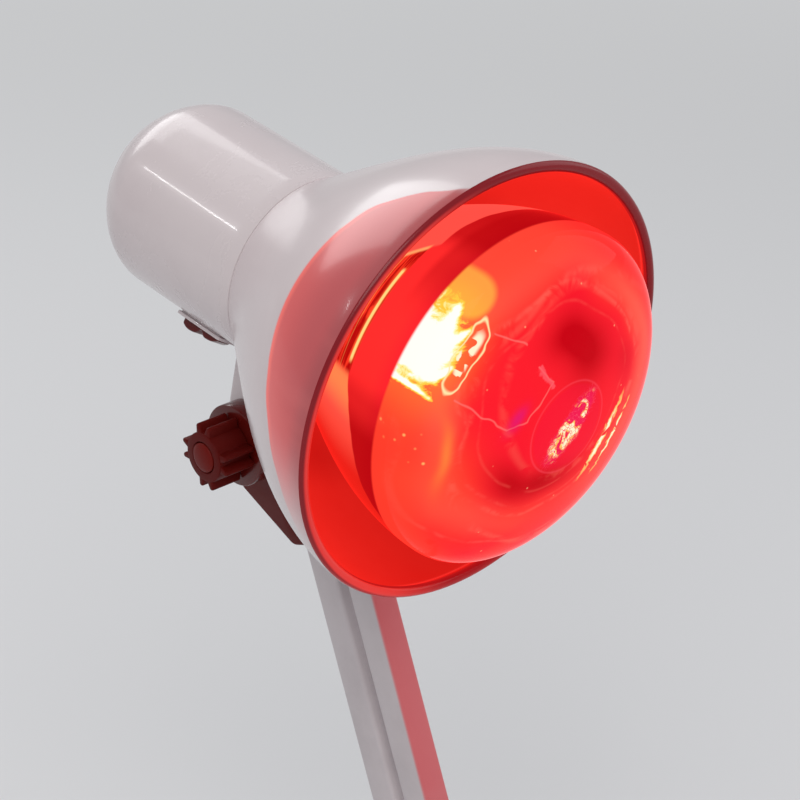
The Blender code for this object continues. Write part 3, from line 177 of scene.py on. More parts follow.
class Look:
    def __init__(self, name, colour, roughness, metallic=0, coat=0, coatRoughness=0.05, specular=0.5):
        self.material = bpy.data.materials.new(name)
        self.material.use_nodes = True
        self.material.diffuse_color = (*colour, 1)
        self.tree = self.material.node_tree
        self.shader = self.tree.nodes["Principled BSDF"]
        for socket, value in {
            "Base Color": (*colour, 1), "Roughness": roughness, "Metallic": metallic, "Coat Weight": coat,
            "Coat Roughness": coatRoughness, "Specular IOR Level": specular,
        }.items():
            self.set(socket, value)

    def set(self, socket, value):
        plug(self.tree, self.shader.inputs[socket], value)

    def paint(self, colour, roughness, height, strength, distance):  # the last three are the bump's
        self.set("Base Color", colour)
        self.set("Roughness", roughness)
        bump = {"Height": height, "Strength": strength, "Distance": distance}
        self.set("Normal", self.node("Bump", bump))
        return self

    def light(self, colour, strength):
        self.set("Emission Color", colour)
        self.set("Emission Strength", strength)

    def node(self, kind, sockets=None, output=0, **settings):
        return addNode(self.tree, "ShaderNode" + kind, sockets, output, **settings)

    def mapped(self, spot, **sockets):
        return self.node("Mapping", {"Vector": spot, **sockets})

    def place(self, matrix=None):  # object coordinates, in the frame of a piece
        spot = self.node("TexCoord", output="Object")
        if matrix is None:
            return spot
        back = matrix.inverted()
        return self.mapped(spot, Location=back.translation, Rotation=back.to_euler())

    def axes(self, spot):
        split = self.node("SeparateXYZ", {0: spot}).socket.node
        return [Wire(self.tree, end) for end in split.outputs]

    def noise(self, spot, scale, detail, roughness=0.5, distortion=0, output="Fac"):
        sockets = {"Vector": spot, "Scale": scale, "Detail": detail, "Roughness": roughness}
        return self.node("TexNoise", {**sockets, "Distortion": distortion}, output)

    def cells(self, spot, scale, feature="F1"):
        return self.node("TexVoronoi", {"Vector": spot, "Scale": scale}, "Distance", feature=feature)

    def blend(self, amount, *colours):  # between two colours or wires
        first, second = [colour if isinstance(colour, Wire) else (*colour, 1) for colour in colours]
        return self.node("Mix", {0: amount, 6: first, 7: second}, 2, data_type="RGBA")

    def layers(self, tone, *coats):  # coats of (amount, colour) over the tone
        for amount, colour in coats:
            tone = self.blend(amount, tone, colour)
        return tone

    def byTurn(self, turn, stops, top=1):  # read off (degrees, height) stops, for one side or for both
        start, reach = (-180, 360) if stops[0][0] < 0 else (0, 180)
        made = self.node("ValToRGB", {"Fac": turn / math.radians(reach) - start / reach})
        ramp = made.socket.node.color_ramp
        ramp.elements.remove(ramp.elements[0])
        for i, (degrees, height) in enumerate(stops):
            share = (degrees - start) / reach
            stop = ramp.elements.new(share) if i else ramp.elements[0]
            stop.position = share
            stop.color = (*[height / top] * 3, 1)
        ramp.interpolation = "CARDINAL" if len(stops) > 8 else "EASE"
        return made * top

    def vector(self, operation, first, second, output=0):
        sockets = {0: first, "Scale" if operation == "SCALE" else 1: second}
        return self.node("VectorMath", sockets, output, operation=operation)

    def pushed(self, spot, scale, detail, reach):  # the place, moved about by noise
        push = self.vector("SUBTRACT", self.noise(spot, scale, detail, output="Color"), (0.5, 0.5, 0.5))
        return self.vector("ADD", spot, self.vector("SCALE", push, reach))

    def stroke(self, spot, start, end):  # distance from a line between two places
        reach = Vector((end[0] - start[0], end[1] - start[1], 0))
        fromStart = self.vector("SUBTRACT", spot, (*start, 0))
        share = self.vector("DOT_PRODUCT", fromStart, tuple(reach / reach.length_squared), "Value")
        along = self.vector("SCALE", tuple(reach), self.node("Clamp", {"Value": share}))
        return self.vector("DISTANCE", fromStart, along, "Value")


# Meshes
def smoothAll(mesh, angle=35):
    mesh.shade_smooth()
    mesh.set_sharp_from_angle(angle=math.radians(angle))


def meshOf(name, bm):
    mesh = bpy.data.meshes.new(name)
    bm.to_mesh(mesh)
    bm.free()
    return mesh


def arcOf(middle, size, start, end, count, power=1):  # (radius, height) points between two degrees
    points = []
    for i in range(count + 1):
        angle = math.radians(start + (end - start) * i / count)
        across, up = math.cos(angle) ** power, math.sin(angle) ** power
        points.append((middle[0] + size[0] * across, middle[1] + size[1] * up))
    return points


def softCorner(radius, height, edge, side=1):  # outer corner of a turned piece, a lower one with -1
    near, low, lower = edge * 0.3, height - side * edge * 0.3, height - side * edge
    return [(radius - edge, height), (radius - near, low), (radius, lower)]


def turnedPiece(name, profile, steps, matrix=Matrix(), closed=True):
    bm = bmesh.new()
    rings = []
    for radius, height in profile:
        angles = [math.tau * k / steps for k in range(steps if radius > 1e-6 else 1)]
        rings.append([bm.verts.new((radius * math.cos(a), radius * math.sin(a), height)) for a in angles])
    for upper, lower in zip(rings, rings[1:] + (rings[:1] if closed else [])):
        for k in range(steps):
            corners = [(upper, k + 1), (upper, k), (lower, k), (lower, k + 1)]
            corners = list(dict.fromkeys(ring[i % len(ring)] for ring, i in corners))
            if len(corners) > 2:
                bm.faces.new(corners)
    mesh = meshOf(name, bm)
    mesh.transform(matrix)
    smoothAll(mesh)
    return newObject(name, mesh)


def skinned(name, *stacks):  # solids through stacks of outlines, with flat ends
    bm = bmesh.new()
    for stack in stacks:
        rings = [[bm.verts.new(corner) for corner in outline] for outline in stack]
        count = len(rings[0])
        for low, high in zip(rings, rings[1:]):
            for i in range(count):
                j = (i + 1) % count
                bm.faces.new((low[j], low[i], high[i], high[j]))
        bm.faces.new(rings[0])
        bm.faces.new(rings[-1][::-1])
    bmesh.ops.recalc_face_normals(bm, faces=bm.faces)
    return meshOf(name, bm)


def plainMesh(piece):  # the piece as its modifiers leave it
    bpy.context.view_layer.update()
    evaluated = piece.evaluated_get(bpy.context.evaluated_depsgraph_get())
    return bpy.data.meshes.new_from_object(evaluated)


def applyModifiers(piece):
    mesh = plainMesh(piece)
    piece.modifiers.clear()
    piece.data = mesh


def softenEdges(piece, width, segments, angle):
    bevel = piece.modifiers.new("edges", "BEVEL")
    bevel.width = width
    bevel.segments = segments
    bevel.limit_method = "ANGLE"
    bevel.angle_limit = math.radians(angle)
    applyModifiers(piece)


def cutBox(piece, matrix, size):
    bm = bmesh.new()
    bmesh.ops.create_cube(bm, size=1, matrix=matrix @ Matrix.Diagonal((*size, 1)))
    cutter = newObject("cutter", meshOf("cutter", bm))
    cut = piece.modifiers.new("cut", "BOOLEAN")
    cut.operation = "DIFFERENCE"
    cut.object = cutter
    applyModifiers(piece)
    discard(cutter)


def refinedCopy(node, name, width, segments=3):  # a solid's own shape with soft edges
    bm = bmesh.new()
    bm.from_mesh(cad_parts[node].data)
    bmesh.ops.remove_doubles(bm, verts=bm.verts, dist=0.00002)
    flat = [edge for edge in bm.edges if edge.calc_face_angle(3.0) < math.radians(0.6)]
    bmesh.ops.dissolve_edges(bm, edges=flat, use_verts=True)
    piece = newObject(name, meshOf(name, bm))
    if width:
        softenEdges(piece, width, segments, 30)
    smoothAll(piece.data, 40)
    return piece


def dress(piece, look, body, *nodes):
    piece.data.materials.clear()
    piece.data.materials.append(look.material)
    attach(piece, body)
    if nodes:
        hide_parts(*nodes)


# Finishes: a colour, the one it is clouded with, and the roughness
def plasticFinish(name, colour, other, rough, coat=0.35, specular=0.5, grainScale=1100):
    look = Look(name, colour, rough, coat=coat, coatRoughness=0.06, specular=specular)
    spot = look.place()
    cloud = look.noise(spot, 14, 4)
    grain = look.noise(spot, grainScale, 2)
    smears = look.noise(spot, 38, 5, 0.6, 0.8).fade(0.35, 0.8)
    return look.paint(
        look.blend(cloud.fade(0.38, 0.72) * 0.6, colour, other),
        smears * 0.1 + grain * 0.05 + (rough - 0.05), grain * 0.3 + cloud * 1.2, 0.06, 0.0004,
    )


def metalFinish(name, colour, rough):
    look = Look(name, colour, rough, metallic=1)
    spot = look.place()
    streak = look.noise(look.mapped(spot, Scale=(1, 1, 0.06)), 1560, 4)
    stain = look.noise(spot, 60, 4)
    dark = tuple(c * 0.72 for c in colour)
    return look.paint(
        look.blend(stain.fade(0.4, 0.75) * 0.7, colour, dark),
        streak * 0.2 + stain * 0.12 + (rough - 0.12), streak, 0.08, 0.0002,
    )


def castIron():
    look = Look("castIron", (0.1, 0.1, 0.105), 0.75, metallic=0.5)
    spot = look.place()
    sand = look.noise(spot, 700, 4, 0.7)
    rust = look.noise(spot, 30, 5, 0.6).fade(0.52, 0.72)
    tone = look.blend(rust, (0.09, 0.09, 0.095), (0.14, 0.075, 0.045))
    return look.paint(tone, sand * 0.3 + 0.55, sand, 0.5, 0.0006)


def paintedSteel(name, colour, low, rough, coat=0.2, matrix=None):
    look = Look(name, colour, rough, coat=coat, coatRoughness=0.2)
    spot = look.place(matrix)
    peel = look.noise(spot, 420, 3)
    dust = look.noise(spot, 22, 5, 0.65)
    tone = look.blend(dust.fade(0.42, 0.75) * 0.7, colour, low)
    look.paint(tone, dust * 0.2 + peel * 0.08 + (rough - 0.12), peel, 0.16, 0.0003)
    return look, spot, dust, tone


whites = ((0.66, 0.585, 0.595), (0.575, 0.495, 0.51))
reds = ((0.088, 0.003, 0.002), (0.12, 0.006, 0.004))
barPaints = ((0.56, 0.505, 0.52), (0.47, 0.42, 0.435))
whitePlastic = plasticFinish("whitePlastic", *whites, 0.26, grainScale=900)
darkRed = plasticFinish("darkRedPlastic", *reds, 0.42, 0, 0.1)
glossRed = plasticFinish("glossRedPlastic", *reds, 0.24, 0.25, 0.3)
knobCapRed = plasticFinish("knobCapPlastic", (0.13, 0.005, 0.003), (0.17, 0.01, 0.006), 0.44, 0, 0.12)
nylon = plasticFinish("greyNylon", (0.17, 0.16, 0.17), (0.22, 0.21, 0.22), 0.55, 0)
porcelain = plasticFinish("glazedPorcelain", (0.8, 0.78, 0.73), (0.72, 0.7, 0.64), 0.16, 0.6)
rubber = plasticFinish("blackRubber", (0.022, 0.022, 0.023), (0.045, 0.044, 0.044), 0.8, 0, grainScale=600)
blackInsulator = plasticFinish("blackInsulator", (0.014, 0.014, 0.016), (0.03, 0.03, 0.03), 0.25)
platedSteel = metalFinish("platedSteel", (0.6, 0.6, 0.62), 0.28)
brass = metalFinish("brassPlain", (0.74, 0.53, 0.24), 0.32)
iron = castIron()
barPaint = paintedSteel("paleBarPaint", *barPaints, 0.4)[0]
blackPaint = paintedSteel("blackPlatePaint", (0.02, 0.02, 0.022), (0.04, 0.038, 0.038), 0.5)[0]
print("plain finishes made")


# The bell shade: white plastic, with the bulb's glow painted on it outside and the bulb's orange red light
# painted on it inside
shadeSet = {
    "depth": 0.093, "rimR": 0.0826, "neckR": 0.037, "wall": 0.0022, "lipR": 0.0021, "lipSteps": 12,
    "bulge": (1.247, 0.436, -0.683), "bulgeSteps": 44, "spigotR": 0.0345, "spigotLength": 0.008, "floor": 0.002,
    "floorHoleR": 0.0225, "steps": 144,
    "lipLit": (-0.0018, -0.0008),  # part of the lip that is lit from inside, from the rim's radius
    # mm behind the rim that the glow reaches outside, by degrees from the top towards the left
    "glowReach": (
        (10, 0), (14, 2), (19, 11), (27, 23.8), (37, 31), (57, 34.9), (75, 30.2), (86, 24), (98, 16), (110, 9),
        (130, 4),
    ),
    "glowLine": (1, 0.11, 0.075), "glowNear": (0.62, 0.042, 0.04), "glowFar": (0.42, 0.034, 0.04),
    # brightness of the light painted on the inner wall, by degrees from the top towards the left
    "insideLevel": (
        (-180, 0.15), (-90, 0.3), (-45, 0.45), (-10, 0.6), (15, 0.85), (45, 1), (90, 1), (106, 0.92),
        (124, 0.55), (180, 0.15),
    ),
    # colours of the light painted on the inner wall, bright and dim
    "insideLightBright": (0.92, 0.04, 0.026), "insideLightDim": (0.46, 0.004, 0.003),
}


def bellRadius(share):
    a, b, c = shadeSet["bulge"]
    grown = a * share + b * share ** 2 + c * share ** 3
    return shadeSet["neckR"] + (shadeSet["rimR"] - shadeSet["neckR"]) * grown


def bellSlope(share):
    a, b, c = shadeSet["bulge"]
    return (shadeSet["rimR"] - shadeSet["neckR"]) * (a + 2 * b * share + 3 * c * share ** 2) / shadeSet["depth"]


def shadeProfile():
    s = shadeSet
    count = s["bulgeSteps"]
    topShare = 1 - s["lipR"] / s["depth"]
    shares = [topShare * (1 - i / count) for i in range(1, count + 1)]
    lip = arcOf((s["rimR"] - s["lipR"], -s["lipR"] / 2), (s["lipR"], s["lipR"]), 180, 0, s["lipSteps"])
    outer = [(bellRadius(t), -s["depth"] * (1 - t)) for t in shares]
    floorZ = -s["depth"] - s["spigotLength"]
    low = [
        (s["spigotR"], -s["depth"]), (s["spigotR"], floorZ), (s["floorHoleR"], floorZ),
        (s["floorHoleR"], floorZ + s["floor"]), (s["spigotR"] - s["wall"], floorZ + s["floor"]),
    ]
    inner = []
    for t in reversed(shares):
        slope = bellSlope(t)
        length = math.hypot(1, slope)
        inner.append((bellRadius(t) - s["wall"] / length, -s["depth"] * (1 - t) + s["wall"] * slope / length))
    return lip + outer + low + inner, len(lip), len(lip) + len(outer) + 2


def outerShadeFinish():
    s = shadeSet
    look = Look("shadeOutside", whites[0], 0.25, coat=0.25, coatRoughness=0.1, specular=0.4)
    spot = look.place(lampMatrix)
    x, y, z = look.axes(spot)
    cloud = look.noise(spot, 16, 4)
    grain = look.noise(spot, 900, 2)
    streaks = look.noise(look.mapped(spot, Scale=(1, 1, 0.2)), 55, 3)
    turn = turnOf(x, y)
    edge = z + look.byTurn(turn, s["glowReach"], 40) * 0.001 + (cloud - 0.5) * 0.0012
    there = turn.band(*map(math.radians, (9, 17, 84, 122)))
    lit = edge.fade(-0.0006, 0.001) * there
    white = look.blend(cloud.fade(0.38, 0.72) * 0.6, *whites)
    # the bulb's light painted through the white wall, with its streaks
    glow = look.layers(
        look.blend(edge.fade(0, 0.026), s["glowNear"], s["glowFar"]),
        (turn.drop(0.35, 0.85) * 0.55, (0.52, 0.08, 0.086)),  # the painted glow pinker near the top
        (edge.near(0.001, 0.003) * turn.band(0.35, 0.65, 1.35, 1.75) * 0.75, s["glowLine"]),
        (z.fade(-0.009, -0.001) * 0.6, (0.22, 0.022, 0.028)),  # the painted glow dimmer under the lip
        (streaks.fade(0.45, 0.75) * 0.25, (0.62, 0.1, 0.09)),
    )
    look.light(look.blend(lit, (0.012, 0.001, 0.001), glow), 0.72)
    return look.paint(
        # base painted dark red where the glow is painted
        look.blend(lit * 0.9, white, (0.12, 0.008, 0.01)),
        grain * 0.05 + cloud * 0.08 + 0.17, grain * 0.3 + cloud * 1.2, 0.06, 0.0004,
    )


def innerShadeFinish():
    s = shadeSet
    look = Look("shadeInside", (0.4, 0.012, 0.008), 0.24, coat=0.15, coatRoughness=0.1, specular=0.3)
    spot = look.place(lampMatrix)
    x, y, z = look.axes(spot)
    cloud = look.noise(spot, 24, 4, 0.55, 0.6)
    wave = look.noise(spot, 60, 2, 0.5, 1.4)
    turn = turnOf(x, y)
    level = look.byTurn(turn, s["insideLevel"])
    level = level * z.fade(-0.1, -0.045) + (cloud - 0.5) * 0.12 + (wave - 0.5) * 0.05
    paintedReflection = turn.near(math.radians(92), math.radians(20)) * z.fade(-0.075, -0.045)
    # the bulb's orange red light painted on the white inner wall, glowing and tinting the base
    colour = look.layers(
        look.blend(level, s["insideLightDim"], s["insideLightBright"]),
        # painted reflection of the filament's light, an orange patch at the left
        (paintedReflection * 0.55, (1, 0.17, 0.075)),
        (z.near(-0.058, 0.014) * y.drop(0, 0.05) * 0.35, (0.3, 0.001, 0.002)),  # the bulb's shadow
        # painted bright line of light just inside the rim
        (z.near(-0.0036, 0.0012) * (cloud * 0.6 + 0.4) * 0.6, (0.95, 0.055, 0.045)),
        # the painted light falling off at the very rim
        (z.fade(-0.0026, -0.0006) * 0.7, (0.24, 0.004, 0.008)),
    )
    look.light(colour, 0.84)
    return look.paint(look.blend(0.6, colour, (0.08, 0.001, 0.001)), cloud * 0.14 + 0.16, cloud, 0.1, 0.0005)


# The white lip painted dark red in the lamp's light, brighter and redder on its lower side, with painted light
# on its inner part
def lipFinish():
    look = Look("shadeLip", (0.2, 0.014, 0.018), 0.26, coat=0.08, coatRoughness=0.1, specular=0.18)
    spot = look.place(lampMatrix)
    x, y, z = look.axes(spot)
    cloud = look.noise(spot, 40, 3)
    turn = turnOf(x, y)
    low = (turn.math("ABSOLUTE") / math.pi).fade(0.55, 0.85)
    inward = (lengthOf(x, y) - shadeSet["rimR"]).drop(*shadeSet["lipLit"]) * turn.band(0.1, 0.6, 2.6, 3.1)
    paintedLipLight = look.blend(low, (0.14, 0.001, 0.002), (0.3, 0.003, 0.005))
    look.light(look.blend(inward, paintedLipLight, (1, 0.04, 0.028)), 0.6)
    # base painted dark red from the lamp's light, redder on the lower side, clouded at random
    colour = look.blend(low, (0.14, 0.01, 0.015), (0.26, 0.008, 0.011))
    colour = look.blend(cloud.fade(0.4, 0.8) * 0.5, colour, (0.11, 0.007, 0.01))
    return look.paint(colour, cloud * 0.1 + 0.17, cloud, 0.06, 0.0003)


def makeShade():
    profile, lipEnd, outerEnd = shadeProfile()
    shade = turnedPiece("bellShade", profile, shadeSet["steps"], lampMatrix)
    for look in (outerShadeFinish(), innerShadeFinish(), lipFinish()):
        shade.data.materials.append(look.material)
    for index, face in enumerate(shade.data.polygons):
        ring = index // shadeSet["steps"]
        if ring < 2 or ring >= outerEnd:
            face.material_index = 1
        else:
            face.material_index = 2 if ring < lipEnd - 2 else 0
    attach(shade, "head")
    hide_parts("lamp_shade")


makeShade()
print("shade made")


# The rear housing with its domed end
housingSet = {
    "radius": 0.037, "wall": 0.0022, "front": -0.0933, "straight": 0.066, "straightSteps": 10, "dome": 0.0308,
    "domePower": 1.21, "domeSteps": 22, "edge": 0.0006, "steps": 128,
    "switchAngle": 31.98,  # degrees from the lowest line towards the left
    "switchPlace": -0.1228, "switchCut": (0.0227, 0.0107, 0.009),
}


def makeHousing():
    h = housingSet
    radius, front, dome, wall, steps = h["radius"], h["front"], h["dome"], h["wall"], h["straightSteps"]
    back = (0, front - h["straight"])
    profile = softCorner(radius, front, h["edge"])
    start, length = front - h["edge"], h["straight"] - h["edge"]
    profile += [(radius, start - length * i / steps) for i in range(1, steps + 1)]
    profile += arcOf(back, (radius, -dome), 0, 90, h["domeSteps"], h["domePower"])[1:]
    profile += arcOf(back, (radius - wall, wall - dome), 90, 0, h["domeSteps"], h["domePower"])
    profile.append((radius - wall, front))
    housing = turnedPiece("rearHousing", profile, h["steps"], lampMatrix)
    angle = math.radians(h["switchAngle"])
    out, along = Vector((-math.sin(angle), -math.cos(angle), 0)), Vector((0, 0, 1))
    where = out * radius + along * h["switchPlace"]
    cutBox(housing, lampMatrix @ moved(*where) @ facing(along, out.cross(along), out), h["switchCut"])
    smoothAll(housing.data)
    dress(housing, whitePlastic, "head", "lamp_housing")


makeHousing()
print("housing made")


# The red reflector bulb, lit
bulbSet = {
    "radius": 0.0625, "face": 0.0241, "faceSteps": 26, "widest": 0.1437, "neckR": 0.0148, "neckStart": 0.0128,
    "neckLength": 0.022, "flarePower": 1.2, "flareSteps": 40, "wall": 0.001, "spigotR": 0.0116, "spigot": 0.006,
    "steps": 144, "red": (0.8, 0.012, 0.02),
    "faceEdge": 138.4,  # where the face's colours start, mm from the cap's middle
    # where the wall's light ends on the flank, mm from the cap's middle by degrees from the top
    "wallEdge": (
        (-60, 128), (-30, 126), (-2, 122.2), (8, 121), (14, 120.7), (25, 121.5), (30, 120), (36, 118.5),
        (68, 118.2), (75, 118.8), (80, 121.3), (85, 123.6), (90.5, 126), (97, 128), (103.5, 129.8),
        (110.5, 132.2), (117, 136), (125, 140), (140, 143),
    ),
    # shares by degrees from the top: the bowl's swirl, and the flank's glow, its painted patch of hot light and
    # the orange of the wall's painted light
    "swirl": ((0, 0.6), (54, 1), (108, 0.65), (180, 0.25)),
    "glow": ((0, 0.12), (14.4, 0.2), (25.2, 0.85), (54, 1), (69.3, 0.92), (79.2, 0.42), (90, 0.08), (180, 0)),
    "hot": ((0, 0), (72, 0.2), (90, 1), (104.4, 0.5), (126, 0.2), (180, 0.1)),
    "orange": ((0, 0), (64.8, 0.1), (77.4, 1), (90, 0.08), (108, 0), (180, 0)),
}
# Marks on the bulb's face in mm from its axis, with the filament's painted glare and painted reflections among
# them: long ones as (start, end, width), some with a strength
markSet = {
    "dark": (
        ((-10, 37), (10, 31), 7.5, 0.8), ((2, 36), (15, 14), 9.5, 1), ((-32, -4), (-18, -20), 6, 0.8),
        ((-22, -17), (8, -19), 6, 1), ((30, 4), (26, 22), 5, 0.3),
    ),
    "thinRings": ((39.5, 1.1, 0.25), (57.5, 1.2, 0.3), (33, 0.9, 0.2)),  # (radius, width, strength)
    "arcs": (((6, 2), 50.5, 2.2, 0.35), ((-6, 10), 41, 1.6, 0.35), ((4, 16), 33, 2.8, 0.25)),
    "warm": ((-62, 16), (-44, -20), 13), "smear": ((-50, 14), (-48.2, -8), 2),
    "dots": ((-60.5, 14), (-53, -4), 5), "gold": ((-25, 58), (-42, 47), 5.6),
    "glare": ((-57.5, 26.2), (-41, 46.2), 4.6),
    "rays": (
        ((-44.5, 43), (-34.5, 52), 0.6), ((-60, 30), (-53, 22.5), 0.8),
        ((-44, 40), (-37.5, 44), 0.8), ((-52, 29), (-45.5, 33), 0.8),
    ),
    "halo": ((-60, 20), (-37, 50), 8), "loop": ((-49.2, 25.5), (-32.5, 46.2), 3),
    "glitter": ((-8.5, -11.5), (11.2, 11), 5.6),
    "splinters": (((12.5, -27), (30.5, 2.5), 1.7), ((20, -28.5), (36.5, -1.5), 1)),
    "hairlines": (
        ((-46.5, 22.4), (-28.3, 8), (-20, 9), (-9.4, 20.5), (-15.9, 27.5)), ((-31, 41.6), (-20, 36.3)),
    ),
    "hook": ((-10, 19.5), (-15, 26.8)), "tint": ((-27, 8), (-20.5, 14), 2.6),
}


def flareRadius(height, inset=0.0):
    b = bulbSet
    start = b["neckStart"] + b["neckLength"]
    share = max(0, (height - start) / (b["widest"] - start))
    swell = math.sin(math.pi / 2 * min(share, 1)) ** b["flarePower"]
    return b["neckR"] + (b["radius"] - b["neckR"]) * swell - inset


def envelopeProfile():
    b = bulbSet
    wall, start, faceMiddle = b["wall"], b["neckStart"], (0, b["widest"])
    reach = start + b["neckLength"] - b["widest"]
    heights = [b["widest"] + reach * i / b["flareSteps"] for i in range(b["flareSteps"] + 1)]
    profile = arcOf(faceMiddle, (b["radius"], b["face"]), 90, 0, b["faceSteps"])
    profile += [(flareRadius(height), height) for height in heights[1:]]
    profile += [(b["neckR"], start + 0.0015), (b["neckR"] - 0.0006, start), (b["spigotR"], start)]
    profile += [(b["spigotR"], start - b["spigot"]), (b["spigotR"] - wall, start - b["spigot"])]
    profile += [(b["spigotR"] - wall, start + wall), (b["neckR"] - wall, start + wall * 1.5)]
    profile += [(flareRadius(height, wall), height) for height in reversed(heights)]
    return profile + arcOf(faceMiddle, (b["radius"] - wall, b["face"] - wall), 0, 90, b["faceSteps"])[1:]


def ovalSquare(u, v, start, end, width):  # 0 in the middle of a long oval, 1 on its outline, squared
    length = math.hypot(end[0] - start[0], end[1] - start[1])
    ux, uy = (end[0] - start[0]) / length, (end[1] - start[1]) / length
    du, dv = u - (start[0] + end[0]) / 2, v - (start[1] + end[1]) / 2
    along, across = (du * ux + dv * uy) / (length / 2), (dv * ux - du * uy) / width
    return along * along + across * across


def ovalOf(*oval):
    return ovalSquare(*oval).math("SQRT")


def softStroke(*oval):  # 1 along its middle, fading out
    return (ovalSquare(*oval) * -1).math("EXPONENT")


def glassFinish():
    b, marks = bulbSet, markSet
    look = Look("rubyGlass", b["red"], 0.05, coat=0.06, coatRoughness=0.02, specular=0.12)
    look.set("IOR", 1.17)
    look.set("Coat IOR", 1.2)
    spot = look.place(bulbMatrix)
    x, y, z = [axis * 1000 for axis in look.axes(spot)]  # mm
    broad = look.noise(spot, 20, 1.5, 0.45, 0.4)
    fine = look.noise(spot, 90, 3, 0.55, 1.2)
    chunky = look.noise(spot, 190, 1.5, 0.5, 1.2)
    hairy = look.pushed(spot, 330, 2, 0.0042)
    shaky = look.vector("MULTIPLY", hairy, (1000, 1000, 0))
    wavering = look.vector("MULTIPLY", look.pushed(spot, 150, 1, 0.0028), (1000, 1000, 0))
    u = x + (broad - 0.5) * 16
    v = y + (look.noise(spot, 27, 1) - 0.5) * 16
    ring = lengthOf(u + 5, v - 12)
    out = lengthOf(x, y)
    bend = turnOf(x, y)

    dark = sum(softStroke(u, v, *stroke) * strength for *stroke, strength in marks["dark"])
    swirl = ring.near(47.5, 11.5) * look.byTurn(bend.math("ABSOLUTE"), b["swirl"])
    thin = sum(ring.near(radius, width) * strength for radius, width, strength in marks["thinRings"])
    arcs = []
    for middle, radius, width, strength in marks["arcs"]:
        reach = lengthOf(u - middle[0], v - middle[1])
        arcs.append((reach.near(radius, width) * fine.fade(0.4, 0.6) * strength, (1, 0.14, 0.1)))
    dots = look.cells(spot, 250).near(0, 0.22) * softStroke(x, y, *marks["dots"]).fade(0.3, 0.6)
    gold = look.blend(x.fade(-40, -28), (1, 0.58, 0.06), (1, 0.4, 0.06))
    grainy = look.noise(look.mapped(spot, Rotation=(0, 0, -0.9), Scale=(0.35, 1.6, 1)), 240, 3, 0.65, 0.6)
    # painted glare of the filament, with its rays
    rays = sum(softStroke(x, y, *ray) for ray in marks["rays"])
    heat = softStroke(x, y, *marks["glare"]) * 1.08 + rays * 0.6 + (grainy - 0.5) * 0.85
    loop = ovalOf(*look.axes(wavering)[:2], *marks["loop"])
    shakyPlace = look.axes(shaky)[:2]
    glitter = ovalOf(*shakyPlace, *marks["glitter"])
    shards = look.cells(hairy, 520, "DISTANCE_TO_EDGE")
    facets = glitter.drop(0.6, 1.05) * chunky.fade(0.46, 0.51)
    splinters = []
    for mark in marks["splinters"]:
        splinter = ovalOf(*shakyPlace, *mark)
        lit = splinter.drop(0.75, 1.1) * chunky.fade(0.36, 0.43)
        splinters += [(lit, (1, 0.52, 0.14)), (lit * splinter.drop(0.35, 0.75), (1, 0.96, 0.66))]
    away = [look.stroke(wavering, *ends) for line in marks["hairlines"] for ends in zip(line, line[1:])]
    nearest = away[0]
    for other in away[1:]:
        nearest = nearest.math("MINIMUM", other)
    face = look.layers(
        # red depths, darker where the bowl behind is seen
        look.blend(broad.fade(0.38, 0.66), (0.94, 0.01, 0.024), (1, 0.03, 0.024)),
        (ring.drop(30, 45) * 0.75, (0.93, 0.007, 0.024)),
        (dark.math("MINIMUM", 1), (0.54, 0, 0.005)),
        (swirl * 0.95, (1, 0.1, 0.064)),
        (thin * fine.fade(0.35, 0.62), (1, 0.13, 0.1)),
        *arcs,
        (out.near(17.2, 0.7) * 0.3, (0.98, 0.08, 0.12)),
        (out.drop(15, 17.2) * 0.3, (0.86, 0.002, 0.045)),
        (out.fade(54.5, 61.5) * 0.5, (1, 0.06, 0.028)),
        (out.fade(48, 58) * x.fade(0, 35) * 0.8, (0.92, 0.02, 0.022)),
        # warm side towards the filament
        (softStroke(x, y, *marks["warm"]) * 0.45, (1, 0.075, 0.022)),
        (softStroke(u, y, *marks["smear"]) * 0.85, (1, 0.22, 0.045)),
        (dots, (1, 0.52, 0.16)),
        (look.cells(spot, 95).near(0, 0.055) * 0.8, (1, 0.42, 0.22)),
        (ovalOf(x, y, *marks["gold"]).drop(0.66, 1.02) * 0.88, gold),
        # glare of the filament, with its points
        (softStroke(x, y, *marks["halo"]) * 0.75, (1, 0.22, 0.03)),
        (heat.fade(0.3, 0.46), (1, 0.62, 0.06)),
        (heat.fade(0.46, 0.6), (1, 0.92, 0.38)),
        (heat.fade(0.58, 0.74), (1, 1, 0.93)),
        # its broken reflections: a thin loop, a glittering oval and two bright splinters
        (loop.near(1, 0.12), (1, 0.8, 0.4)),
        (loop.drop(0.5, 0.8) * chunky.fade(0.52, 0.57), (1, 0.9, 0.62)),
        (glitter.drop(0.75, 1.15) * 0.7, (0.84, 0.01, 0.1)),
        (facets * shards.fade(0.02, 0.1), (1, 0.56, 0.13)),
        (facets * chunky.fade(0.53, 0.59) * shards.fade(0.02, 0.08), (1, 0.93, 0.62)),
        (glitter.drop(0.9, 1.3) * shards.drop(0, 0.035) * 0.5, (1, 0.14, 0.24)),
        *splinters,
        # hairlines where the bowl's edge shows through
        (nearest.drop(0, 0.6) * 0.6, (1, 0.2, 0.18)),
        (look.stroke(shaky, *marks["hook"]).drop(0.4, 1.6) * 0.7, (1, 0.11, 0.14)),
        (softStroke(u, v, *marks["tint"]) * 0.75, (0.72, 0.01, 0.17)),
    )
